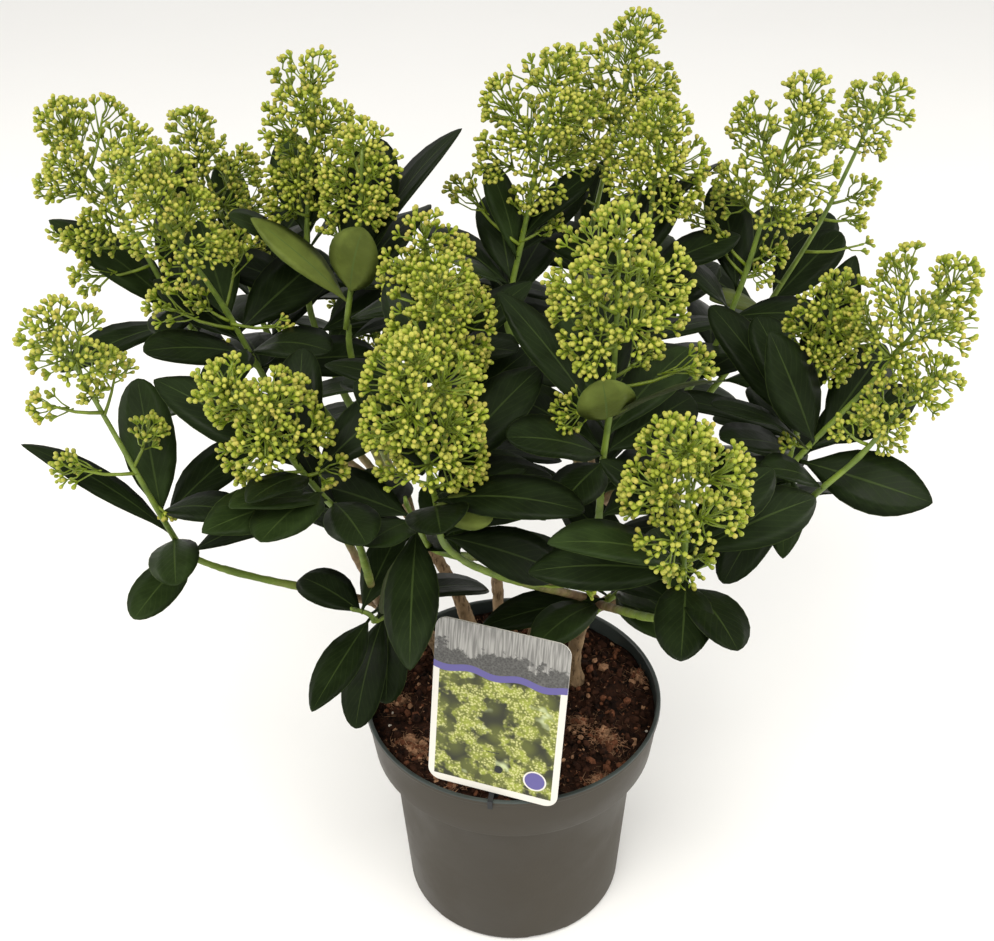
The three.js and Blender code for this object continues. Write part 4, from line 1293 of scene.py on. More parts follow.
class SKIMMIA_OT_label(bpy.types.Operator):
    """Model the plant label: a printed card with round corners, held by a dark stake with a pin and a clip"""

    bl_idname = "skimmia.label"
    bl_label = "Label"

    def execute(self, context):
        label = context.scene.skimmia_label
        self.stand = Matrix.Translation(LABEL_FOOT) @ Matrix.Rotation(-label.turn, 4, "Z")
        self.lean = Matrix.Rotation(math.pi / 2 - label.lean, 4, "X") @ Matrix.Rotation(-label.tilt, 4, "Z")
        self.card(label)
        join(self.stake(), self.pin(label), self.clip())
        bpy.ops.object.shade_smooth_by_angle(angle=math.radians(40))
        dark = plain_finish("stake plastic", label.dark, label.dark_pale, scale=60, rough=(0.4, 0.6),
                            grain=Grain(scale=600, strength=0.1, depth=0.0004), specular=0.3)
        settle("label_stake", [dark], "card")
        return {"FINISHED"}

    def card(self, label):
        """The card, flat at first, with round corners and a chart over its face."""
        cuboid((0, label.height / 2, label.thick / 2), (label.width, label.height, label.thick))
        choose(lambda line: abs(line.verts[0].co.z - line.verts[1].co.z) > label.thick / 2, "EDGE")
        bpy.ops.mesh.bevel(offset=label.corner, segments=8, affect="EDGES")
        choose(lambda face: abs(face.normal.z) > 0.9, "FACE")
        bpy.ops.mesh.bevel(offset=label.thick * 0.2, segments=1, affect="EDGES")
        card = leave_edit()
        chart = card.data.uv_layers[0] if card.data.uv_layers else card.data.uv_layers.new(name="UVMap")
        for face in card.data.polygons:
            face.material_index = int(face.normal.z > 0.5)
            for loop in face.loop_indices:
                corner = card.data.vertices[card.data.loops[loop].vertex_index].co
                chart.data[loop].uv = (corner.x / label.width + 0.5, corner.y / label.height)
        card.data.transform(self.stand @ self.lean)
        bpy.ops.object.shade_smooth_by_angle(angle=math.radians(30))
        plain = plain_finish("card", label.white, tinted(label.white, 0.94), scale=25, rough=(0.3, 0.4),
                             grain=Grain(scale=500, strength=0.05, depth=0.0002))
        settle("label_card", [plain, self.printed(label)], "card", "label")

    def printed(self, label):
        """The printed side: a head of grey boards with dark shrubs, a violet wave, a field of bud clusters
        over dark leaves in a white border, and a violet disc."""
        finish = Finish("card print", roughness=0.35, specular=0.35, coat=0.15)
        above, below = partial(finish.maths, "GREATER_THAN"), partial(finish.maths, "LESS_THAN")
        chart = finish.chart()
        across, up, _ = finish.parted(chart)
        place = finish.stretched(chart, (label.width, label.height, 1))
        wave = finish.times(finish.maths("SINE", finish.times(across, 17.0)), 0.012)
        height = finish.maths("ADD", up, wave)
        tone = finish.mixed(above(height, WAVE_LOW), self.field(finish, label, place), label.violet)
        tone = finish.mixed(above(height, WAVE_HIGH), tone, self.head(finish, label, place, up))
        disc = (label.width * DISC_PLACE[0], label.height * DISC_PLACE[1], 0)
        away = finish.fed("ShaderNodeVectorMath", {0: place, 1: disc}, operation="DISTANCE").outputs["Value"]
        tone = finish.mixed(below(away, RING_RADIUS), tone, label.white)
        tone = finish.mixed(below(away, DISC_RADIUS), tone, label.violet)
        sides = above(finish.off_middle(across), SIDE_BORDER)
        border = finish.maths("MAXIMUM", sides, below(up, FOOT_BORDER))
        border = finish.times(border, below(height, WAVE_LOW))
        finish.colour(finish.mixed(border, tone, label.white))
        return finish.relief(Grain(scale=500, strength=0.04, depth=0.0002)).material

    def head(self, finish, label, place, up):
        """Upright grey boards, with dark round shrubs before them."""
        boards = finish.clouds(finish.stretched(place, (900, 45, 1)), 1.0, Detail=4.0)
        boards = finish.ranged(boards, 0.35, 0.65)
        tone = finish.mixed(boards, tinted(label.grey, 0.6), tinted(label.grey, 1.35))
        shrubs = finish.clouds(place, 75.0, Detail=6.0, Roughness=0.7)
        reach = finish.less(finish.times(shrubs, 0.42), up)
        dark = finish.mixed(finish.cells(place, 800.0), tinted(label.grey, 0.1), tinted(label.grey, 0.42))
        return finish.mixed(finish.ranged(reach, -0.64, -0.61), tone, dark)

    def field(self, finish, label, place):
        """Clusters of pale dots over dark leaves, with pale gaps between."""
        leafy = finish.ranged(finish.cells(place, 75.0), 0.2, 0.8)
        tone = finish.mixed(leafy, tinted(label.green, 0.30), tinted(label.green, 0.05))
        light = finish.clouds(finish.stretched(place, (1, 1.4, 1)), 48.0, Detail=2.0)
        tone = finish.mixed(finish.ranged(light, 0.58, 0.70), tone, label.gap)
        clumps = finish.ranged(finish.clouds(place, 62.0, Detail=3.0, Roughness=0.6), 0.44, 0.54)
        bead = finish.ranged(finish.cells(place, 640.0, randomness=0.9), 0.25, 0.6, 1.0, 0.0)
        shade = finish.ranged(finish.clouds(place, 160.0, Detail=2.0), 0.35, 0.65)
        body = finish.mixed(shade, tinted(label.green, 0.45), label.green)
        return finish.mixed(clumps, tone, finish.mixed(bead, body, label.bead))

    def stake(self):
        """A flat stake that narrows to its foot."""
        cuboid(STAKE_PLACE, STAKE_SIZE)
        choose(lambda corner: corner.co.z < 0)
        bpy.ops.transform.resize(value=(STAKE_POINT, 1, 1), center_override=(0, STAKE_PLACE[1], 0))
        stake = leave_edit()
        apply_modifier("BEVEL", width=STAKE_BEVEL, segments=2, limit_method="ANGLE")
        stake.data.transform(self.stand)
        return stake

    def pin(self, label):
        """The round pin on the card's face."""
        turn_up(20, PIN_OUTLINE)
        pin = close_up()
        pin.data.transform(self.stand @ self.lean @ Matrix.Translation((*PIN_PLACE, label.thick)))
        return pin

    def clip(self):
        """A bar over the pot's lip with a hook down its outside."""
        cuboid(CLIP_PLACE, CLIP_SIZE)
        end = CLIP_PLACE[0] + CLIP_SIZE[0] / 2
        choose(lambda face: face.normal.x > 0.9, "FACE")
        extrude(CLIP_SIZE[2], 0, 0)
        choose(lambda face: face.normal.z < -0.9 and face.calc_center_median().x > end, "FACE")
        extrude(0, 0, -CLIP_HOOK)
        clip = leave_edit()
        clip.data.transform(Matrix.Rotation(math.atan2(LABEL_FOOT[1], LABEL_FOOT[0]), 4, "Z"))
        return clip


# Wood


# Points drawn along each stem and bough and for their bark, how deep a stem starts in the peat, and the leaf
# scars on a bough
STEM_KNOTS, BOUGH_KNOTS, DENSE_KNOTS, STEM_SUNK, BOUGH_SCARS = 24, 14, 160, 6 * MM, 4
STEM_BARK_SCALE, BOUGH_BARK_SCALE = 380, 420


def bark_relief(points, centre, depth, scale):
    """Moves each point in or out from the line under it by the cracks and ridges of the bark."""
    moved, drawn_out = points.copy(), 0.28
    for index, (point, middle) in enumerate(zip(points, centre)):
        out = point - middle
        reach = np.linalg.norm(out)
        if reach < 1e-6:
            continue
        x, y, z = point * scale
        ridges = noise.fractal(Vector((x, y, z * drawn_out)), 0.8, 2.0, 3)
        moved[index] = middle + out * (1 + depth * ridges / reach)
    return moved


class SKIMMIA_OT_wood(bpy.types.Operator):
    """Grow the stems out of the peat and the boughs out of the stems, with the relief of their bark"""

    bl_idname = "skimmia.wood"
    bl_label = "Stems and boughs"

    def execute(self, context):
        wood = context.scene.skimmia_wood
        self.joined([self.stem(stem, wood) for stem in STEMS])
        settle("stems", [self.bark(wood)], "bark", *[f"stem_{stem}" for stem in STEMS])
        self.joined([self.bough(shoot, wood) for shoot in GROWN])
        settle("boughs", [self.bough_wood(wood)], "green_wood", *[f"bough_{shoot.name}" for shoot in GROWN])
        return {"FINISHED"}

    def stem(self, stem, wood):
        """One stem, flared above the peat and sunk a little into it."""
        share = np.linspace(0, 1, STEM_KNOTS)
        line = along(stem_line(stem), share)
        flare = wood.flare * np.exp(-share / wood.flare_share)
        radii = STEMS[stem][2] * MM * (lerp(1, wood.stem_taper, share) + flare)
        line = np.vstack([line[0] - (0, 0, STEM_SUNK), line])
        radii = np.concatenate([[radii[0] * 1.15], radii])
        return self.limb(line, radii, 5, wood.relief, STEM_BARK_SCALE)

    def bough(self, shoot, wood):
        """One bough, ringed by the scars of old leaves."""
        scar_swell, scar_width = 0.14, 0.025
        share = np.linspace(0, 1, BOUGH_KNOTS)
        radii = lerp(wood.bough_foot, wood.bough_tip, share)
        for scar in range(BOUGH_SCARS):
            where = lerp(0.3, 0.97, (scar + 0.5) / BOUGH_SCARS) + 0.05 * (roll(shoot.seed, scar + 200) - 0.5)
            radii = radii * (1 + scar_swell * np.exp(-((share - where) / scar_width) ** 2))
        line = along(shoot.bough, share)
        return self.limb(line, radii, 3, wood.relief * 0.45, BOUGH_BARK_SCALE, age=1 - share)

    def limb(self, line, radii, roundness, depth, scale, age=None):
        """A round limb: a curve drawn through the line, thick as the radii say, made a mesh and given
        bark."""
        begin()
        bpy.ops.curve.primitive_bezier_curve_add()
        curve = bpy.context.object.data
        curve.dimensions = "3D"
        bpy.ops.object.mode_set(mode="EDIT")
        bpy.ops.curve.select_all(action="SELECT")
        bpy.ops.curve.subdivide(number_cuts=len(line) - 2)
        bpy.ops.object.mode_set(mode="OBJECT")
        for knot, place, radius in zip(curve.splines[0].bezier_points, line, radii):
            knot.co = place
            knot.radius = radius / MM
            knot.handle_left_type = knot.handle_right_type = "AUTO"
        curve.resolution_u = 4
        curve.bevel_depth = MM
        curve.bevel_resolution = roundness
        curve.use_fill_caps = True
        bpy.context.object.matrix_world = Matrix.Identity(4)
        bpy.ops.object.convert(target="MESH")
        mesh = bpy.context.object.data
        points = np.array([corner.co for corner in mesh.vertices])
        dense = along(line, np.linspace(0, 1, DENSE_KNOTS))
        nearest = np.linalg.norm(points[:, None] - dense[None], axis=-1).argmin(axis=1)
        points = bark_relief(points, dense[nearest], depth, scale)
        mesh.vertices.foreach_set("co", points.astype(np.float32).ravel())
        if age is not None:
            old = mesh.attributes.new("age", "FLOAT", "POINT")
            ages = np.interp(nearest / (len(dense) - 1), np.linspace(0, 1, len(age)), age)
            old.data.foreach_set("value", ages.astype(np.float32))
        bpy.ops.object.shade_smooth()
        return bpy.context.object

    def joined(self, limbs):
        join(*limbs)
        edit()
        close_up()

    def bark(self, wood):
        """Brown bark with cracks along the stem."""
        finish = Finish("bark", roughness=0.8, specular=0.3)
        drift, mask = finish.mottle(wood.bark, tinted(wood.bark, 0.6), scale=120, detail=6)
        drawn_out = finish.stretched(finish.place(), (1, 1, 0.2))
        cracks = finish.clouds(drawn_out, 520.0, Detail=6.0, Roughness=0.65)
        crack = finish.ranged(cracks, 0.36, 0.5, 1.0, 0.0)
        finish.colour(finish.mixed(crack, drift, wood.crack)).roughness(mask, 0.75, 0.95)
        return finish.bump(cracks, strength=0.6, depth=0.0012).material

    def bough_wood(self, wood):
        """Brown at the foot, green at the tip, by the age that the mesh carries."""
        finish = Finish("bough wood", roughness=0.6, specular=0.4)
        green, _ = finish.mottle(wood.young, wood.young_deep, scale=70, detail=5)
        brown, mask = finish.mottle(wood.bark, tinted(wood.crack, 1.6), scale=160, detail=6)
        age = finish.node("ShaderNodeAttribute", attribute_name="age").outputs["Fac"]
        patches = finish.times(finish.clouds(finish.place(), 90.0, Detail=5.0), 0.5)
        old = finish.ranged(finish.maths("ADD", age, patches), 0.75, 1.15)
        finish.colour(finish.mixed(old, green, brown)).roughness(mask, 0.5, 0.75)
        return finish.relief(Grain(scale=700, strength=0.35, depth=0.0007)).material


# Leaves


# Shares of the length at which a blade has its rings, and its width at each as a share of its greatest width
LEAF_PLACES = (0.0, 0.07, 0.16, 0.27, 0.39, 0.51, 0.62, 0.72, 0.81, 0.89, 0.95, 0.985, 1.0)
POINTED = (0.07, 0.08, 0.31, 0.62, 0.86, 0.98, 0.99, 0.91, 0.75, 0.52, 0.30, 0.13, 0.01)
ROUNDED = (0.07, 0.09, 0.36, 0.66, 0.88, 0.98, 1.00, 0.96, 0.86, 0.68, 0.46, 0.24, 0.03)
TOUCHING = 1e-4
# The room that a leaf needs round it by the rule and under the whorl, how far its tip may be from the
# solid's, and its distance from the sides of the solids' box
RULE_GAP, LOWER_GAP, TIP_REACH, BOX_GAP, LOWER_BOX_GAP = 6 * MM, 7.5 * MM, 0.8 * MM, 1.5 * MM, 4 * MM
# The chord of a bent leaf as a share of its length, and how much longer than its row says a leaf may be drawn
CHORD_SHARE, LONGEST_SHARE = 0.97, 1.25
POINTED_SHARE = 0.55
TRIES = 10
LEAF_SEED = 21
TONE_SHARES = (0.42, 0.36, 0.22)


def leaf_model(widths):
    """A blade of unit length and width, its upper and lower skins joined at the margin, with a chart that
    runs from root to tip and from margin to margin. Slots: 0 upper side, 1 underside."""
    begin()
    rings = len(LEAF_PLACES) - 1
    bpy.ops.mesh.primitive_grid_add(x_subdivisions=rings, y_subdivisions=4, size=1, location=(0.5, 0, 0))
    apply_place()
    edit()
    for index, width in enumerate(widths):
        choose(lambda corner: abs(corner.co.x - index / rings) < TOUCHING)
        bpy.ops.transform.resize(value=(1, width, 1), center_override=(index / rings, 0, 0))
    moves = [(place - index / rings, index / rings) for index, place in enumerate(LEAF_PLACES)]
    rising = [move for move in reversed(moves) if move[0] > 0]
    for shift, was in rising + [move for move in moves if move[0] < 0]:
        choose(lambda corner: abs(corner.co.x - was) < TOUCHING)
        bpy.ops.transform.translate(value=(shift, 0, 0))
    choose(lambda corner: not corner.is_boundary)
    bpy.ops.transform.translate(value=(0, 0, 1))
    choose_all()
    bpy.ops.mesh.duplicate()
    bpy.ops.transform.resize(value=(1, 1, -1), center_override=(0, 0, 0))
    choose_all()
    bpy.ops.mesh.remove_doubles(threshold=2 * TOUCHING)
    for face in close_up().data.polygons:
        face.material_index = int(face.center.z < 0)
    return Model()


class Leaf:
    """Where one leaf grows and how it lies: its chord's direction, its bend along the chord, its turn
    about it, and its twist from root to tip."""

    def __init__(self, root, direction, size, width, bend, turn, twist, pointed, tone=ANY):
        self.root, self.direction, self.length, self.width = root, direction, size, width
        self.bend, self.turn, self.twist, self.pointed, self.tone = bend, turn, twist, pointed, tone

    def frame(self):
        """The directions beside and above the leaf."""
        level = unit(np.cross((0, 0, 1.0), self.direction))
        upright = np.cross(self.direction, level)
        return (level * math.cos(self.turn) + upright * math.sin(self.turn),
                upright * math.cos(self.turn) - level * math.sin(self.turn))

    def line(self, shares=(0.1, 0.25, 0.45, 0.65, 0.85, 1.0)):
        """Points along the midrib and both margins, to keep the leaf clear of others."""
        beside, above = self.frame()
        points = []
        for share in shares:
            turn = self.bend / 2 - self.bend * share
            forward = self.length / self.bend * (math.sin(self.bend / 2) - math.sin(turn))
            upward = self.length / self.bend * (math.cos(turn) - math.cos(self.bend / 2))
            middle = self.root + forward * self.direction + upward * above
            half = self.width * 0.46 * math.sin(math.pi * min(0.95, share * 0.85 + 0.1))
            points += [middle, middle + beside * half, middle - beside * half]
        return np.array(points)

    def fitted(self):
        """The leaf, shortened until it stays inside the CAD's box."""
        shortest, shorter, narrower = 0.03, 0.97, 0.98
        while not inside_box(self.line(), BOX_GAP) and self.length > shortest:
            self.length *= shorter
            self.width *= narrower
        return self


def laid(model, leaves, settings, rng):
    """The model's points laid along each leaf: bent down along its length, folded up at the midrib."""
    x, y, z = model.points.T
    count = len(leaves)
    size, width, bend, twist = (np.array([getattr(leaf, key) for leaf in leaves])[:, None]
                                for key in ("length", "width", "bend", "twist"))
    fold = settings.fold * (0.3 + 1.2 * rng.random((count, 1)))
    wave = rng.normal(0, 0.05, (count, 1)) * np.sin(x * rng.uniform(6, 12, (count, 1))
                                                    + rng.random((count, 1)) * 6.3)
    sweep = rng.normal(0, 0.035, (count, 1)) * size * (x * x - x)
    side = y * width
    rib_thick = 1 + 1.8 * np.exp(-(y / 0.05) ** 2) * (1 - x) * (z < 0) + 1.6 * np.exp(-x / 0.06)
    lift = z * settings.thick / 2 * rib_thick
    lift = lift + np.abs(side) * (fold + wave) - side ** 2 * 6 * fold
    yaw = twist * (x - 0.3)
    side, lift = side * np.cos(yaw) - lift * np.sin(yaw) + sweep, side * np.sin(yaw) + lift * np.cos(yaw)
    turn = bend / 2 - bend * x
    forward = size / bend * (np.sin(bend / 2) - np.sin(turn)) - lift * np.sin(turn)
    upward = size / bend * (np.cos(turn) - np.cos(bend / 2)) + lift * np.cos(turn)
    ahead = np.array([leaf.direction for leaf in leaves])
    beside, above = (np.array(axes) for axes in zip(*(leaf.frame() for leaf in leaves)))
    roots = np.array([leaf.root for leaf in leaves])
    return (roots[:, None] + forward[..., None] * ahead[:, None] + side[..., None] * beside[:, None]
            + upward[..., None] * above[:, None])


def inside_box(points, margin):
    """Whether all points are inside the solids' box by a margin."""
    low, high = np.array(CAD_BOX[0]) + margin, np.array(CAD_BOX[1]) - margin
    return bool(((points >= low) & (points <= high)).all())


class Crowding:
    """Keeps what has grown so far, so that new leaves find free room, and keeps the clearings open."""

    def __init__(self, view):
        self.view = view
        self.points = np.zeros((0, 3))

    def add(self, points):
        self.points = np.vstack([self.points, points])

    def is_free(self, points, gap):
        if self.view.covers_clearing(points):
            return False
        if not len(self.points):
            return True
        apart = np.linalg.norm(self.points[None] - points[:, None], axis=-1)
        return bool(apart.min() > gap)


def placed_leaf(shoot, index, placed, view, settings):
    """A leaf from its root on the shoot to the line of sight through its tip."""
    root = shoot.rooted(placed.height * MM)
    long, wide = (side * MM for side in placed.size)
    chord = long * CHORD_SHARE
    sight = view.through(*placed.tip)
    nearest = (root - view.place) @ sight
    aside = np.linalg.norm(view.place + sight * nearest - root)
    depth = math.sqrt(max(0.0, chord ** 2 - aside ** 2))
    span = view.place + sight * (nearest + (depth if placed.behind else -depth)) - root
    size = min(np.linalg.norm(span) / CHORD_SHARE, long * LONGEST_SHARE)
    bend = settings.bend * between(0.5, 1.1, shoot.seed, index + 400)
    twist = between(-0.3, 0.3, shoot.seed, index + 410)
    leaf = Leaf(root, unit(span), size, wide, bend, 0.0, twist, placed.pointed, placed.tone)
    level, upright = leaf.frame()
    toward = unit(view.back - leaf.direction * (view.back @ leaf.direction))
    leaf.turn = placed.facing * math.atan2(-(toward @ level), toward @ upright)
    return leaf.fitted()


def placed_leaves(shoot, crowd, settings):
    """The leaves of a shoot that have places of their own."""
    leaves = [placed_leaf(shoot, index, placed, crowd.view, settings)
              for index, placed in enumerate(PLACED.get(shoot.name, ()))]
    for leaf in leaves:
        crowd.add(leaf.line())
    return leaves


def rule_leaves(shoot, crowd, settings):
    """The leaves that the rule places on the CAD's shoot, each where the solid has its tip, unless a leaf
    with a place of its own has taken the room."""
    finder = corner_finder(shoot.node)
    droop, flatter = 0.08, 24
    leaves = []
    for i in range(shoot.leaves):
        share = i / (shoot.leaves - 1)
        root = shoot.at(lerp(5 * MM, LEAFY_LENGTH, share))
        toward = shoot.turn + GOLDEN_ANGLE * i
        rise = lerp(4, 50, share) - (0 if shoot.bloom else flatter) + between(-8, 8, shoot.seed, i + 80)
        size = settings.length * (1 - 0.25 * share) * between(0.88, 1.08, shoot.seed, i + 70)
        width = size / settings.length * settings.width * between(0.86, 1.06, shoot.seed, i + 90)
        for turn, lift, scale in LEAF_TRIES:
            direction = heading(toward + turn, rise + lift)
            beside = unit(np.cross((0, 0, 1.0), direction))
            above = np.cross(direction, beside)
            tip = root + direction * size * scale - above * droop * size * scale
            if finder.find(tip)[2] > TIP_REACH:
                continue
            bend = settings.bend * between(0.5, 1.35, shoot.seed, i + 110)
            direction = unit(direction * math.cos(droop) - above * math.sin(droop))
            leaf = Leaf(root, direction, size * scale * 1.03, width * scale, bend,
                        between(-0.4, 0.4, shoot.seed, i + 130), between(-0.5, 0.5, shoot.seed, i + 120),
                        roll(shoot.seed, i + 140) < POINTED_SHARE).fitted()
            if has_room(shoot, leaf, crowd, RULE_GAP):
                leaves.append(leaf)
                crowd.add(leaf.line())
            break
    return leaves


def has_room(shoot, leaf, crowd, gap):
    """Whether a leaf is clear of all others. On a shoot whose front leaves have places of their own, no other
    grows to the front."""
    front = -0.15 if shoot.bloom else 0.3
    if shoot.name in PLACED and leaf.direction[1] < front:
        return False
    return crowd.is_free(leaf.line()[3:], gap)


def lower_leaves(shoot, crowd, settings):
    """Older leaves under the whorl, where the bough has room for them."""
    leaves, seed = [], shoot.seed
    for i in range(settings.extra):
        back = lerp(0.985, 0.72, (i + roll(seed, i + 300)) / settings.extra)
        root = along(shoot.bough, [back])[0]
        first = shoot.turn + GOLDEN_ANGLE * (i + 0.5) + between(-20, 20, seed, i + 310)
        for attempt in range(TRIES):
            rise = between(-18, 30, seed, i + 320 + attempt)
            size = settings.length * between(0.72, 1.0, seed, i + 330 + attempt)
            leaf = Leaf(root, heading(first + attempt * 360 / TRIES, rise), size,
                        settings.width * between(0.82, 1.06, seed, i + 340),
                        settings.bend * between(0.5, 1.4, seed, i + 350), between(-0.3, 0.3, seed, i + 370),
                        between(-0.6, 0.6, seed, i + 360), roll(seed, i + 380) < POINTED_SHARE)
            if inside_box(leaf.line(), LOWER_BOX_GAP) and has_room(shoot, leaf, crowd, LOWER_GAP):
                leaves.append(leaf)
                crowd.add(leaf.line())
                break
    return leaves


class SKIMMIA_OT_leaves(bpy.types.Operator):
    """Grow the whorls of leaves, each leaf a blade with a midrib, bent and folded its own way"""

    bl_idname = "skimmia.leaves"
    bl_label = "Leaves"

    def execute(self, context):
        settings = context.scene.skimmia_leaves
        models = (leaf_model(ROUNDED), leaf_model(POINTED))
        crowd = Crowding(View(context.scene.skimmia_studio))
        rng = np.random.default_rng(LEAF_SEED)
        whorls = {shoot.name: placed_leaves(shoot, crowd, settings) for shoot in GROWN}
        for grow in (rule_leaves, lower_leaves):
            for shoot in GROWN:
                whorls[shoot.name] += grow(shoot, crowd, settings)
        skins = self.materials(settings)
        for stem in STEMS:
            shoots, parts = shoots_of(stem), []
            for pointed, model in enumerate(models):
                leaves = [leaf for shoot in shoots for leaf in whorls[shoot.name] if leaf.pointed == pointed]
                points = laid(model, leaves, settings, rng)
                tones = rng.choice(len(TONE_SHARES), len(leaves), p=TONE_SHARES)
                own = np.array([leaf.tone for leaf in leaves])
                parts.append(model.copies(points, np.where(own == ANY, tones, own) * 2))
            add_mesh(f"leaves_{stem}", parts)
            settle(f"leaves_{stem}", skins, "foliage", *[shoot.node for shoot in shoots])
        return {"FINISHED"}

    def materials(self, settings):
        """Upper side and underside for each of three greens and for a young leaf."""
        made = []
        greens = (tinted(settings.upper, 0.8), settings.upper, settings.upper_pale, settings.young)
        for index, green in enumerate(greens):
            young = 1.6 if index == YOUNG else 1.0
            rib = tinted(settings.rib, young * (0.7 + 0.15 * index))
            under = tinted(settings.under, young * (0.75 + 0.15 * index))
            made.append(self.skin(f"leaf {index}", green, tinted(green, 1.6), rib, rough=(0.34, 0.48),
                                  specular=0.07, breadth=1.0))
            made.append(self.skin(f"underside {index}", under, tinted(under, 0.75), tinted(rib, 1.2),
                                  rough=(0.55, 0.7), specular=0.12, breadth=1.5))
        return made

    def skin(self, name, first, second, rib, rough, specular, breadth):
        """A leaf's skin: a mottled green, the midrib and faint side veins, and a thin pale margin."""
        finish = Finish(name, rough[0], specular)
        tone, mask = finish.mottle(first, second, scale=55)
        veins = finish.shared("Veins", {"Breadth": breadth})
        for label, strength in (("Veins", 0.10), ("Margin", 0.8), ("Midrib", 0.75)):
            tone = finish.mixed(finish.times(veins[label], strength), tone, rib)
        finish.colour(tone).roughness(mask, *rough)
        return finish.bump(veins["Height"], strength=0.25, depth=0.0005).material


# Shoots, sprays and buds


# How far along a spray the middle of its head lies, and the cymes in a head of a full radius
HEAD_PLACE, HEAD_PLACE_BY_RULE = 0.76, 0.78
HEAD_CYMES, FULL_HEAD = 26, 15.5 * MM
MOST_CYMES = 6000
BUD_BOX_GAP = 2 * MM
BLOOM_SEED, BUD_SEED = 500, 77
# Radii along the stalk of a spray and along a branchlet
STALK_RADII = np.array((1.15, 1.0, 0.9, 0.75, 0.6)) * MM
TWIG_RADII = np.array((0.62, 0.5, 0.45)) * MM
# Where the bright and then the greener buds end on a scale from 0 to 1; the rest are amber
BRIGHT_END, GREEN_END = 0.52, 0.84


def spray_layout(shoot, settings, view):
    """Root, direction, length and head radius of each spray: a spiral of heads on an ovoid, one on top, and
    loose ones on the stalk below, by the rule or with places of their own."""
    full = min(settings.head, settings.head_share * shoot.radius)
    sprays = [(shoot.at(shoot.bloom_foot + shoot.bloom * 0.6), shoot.axis, shoot.bloom * 0.4, full)]
    count = round(shoot.bloom / settings.spacing)
    for i in range(count):
        share = (i + 0.5) / count
        head = full * between(0.86, 1.1, shoot.seed, i + 20)
        ovoid = math.sin(math.pi * lerp(0.30, 0.76, share))
        out = max(shoot.radius - 0.8 * head, head) * ovoid * between(0.86, 1.04, shoot.seed, i)
        rise = lerp(22, 56, share)
        slope = math.tan(math.radians(rise))
        height = shoot.bloom_foot + shoot.bloom * lerp(0.10, 0.80, share)
        sprays.append((shoot.at(height - out * slope), heading(shoot.first_turn + GOLDEN_ANGLE * i, rise),
                       out * math.hypot(1, slope) / HEAD_PLACE_BY_RULE, head))
    for stray in STRAYS.get(shoot.name, ()):
        height = stray.height * MM
        root = shoot.rooted(height if height < 0 else height + LEAFY_LENGTH / 2)
        sight = view.through(*stray.head)
        span = view.place + sight * ((root - view.place) @ sight) - root
        reach = np.linalg.norm(span)
        sprays.append((root, span / reach, reach / HEAD_PLACE, stray.radius * MM))
    for i in range(0 if shoot.name in STRAYS else shoot.strays):
        sprays.append((shoot.at(shoot.bloom_foot - shoot.stalk * ((i + 1) / (shoot.strays + 2))),
                       heading(shoot.first_turn + GOLDEN_ANGLE * (i + 0.5), 40),
                       shoot.radius * between(1, 1.35, shoot.seed, i + 40), full * 0.75))
    return sprays


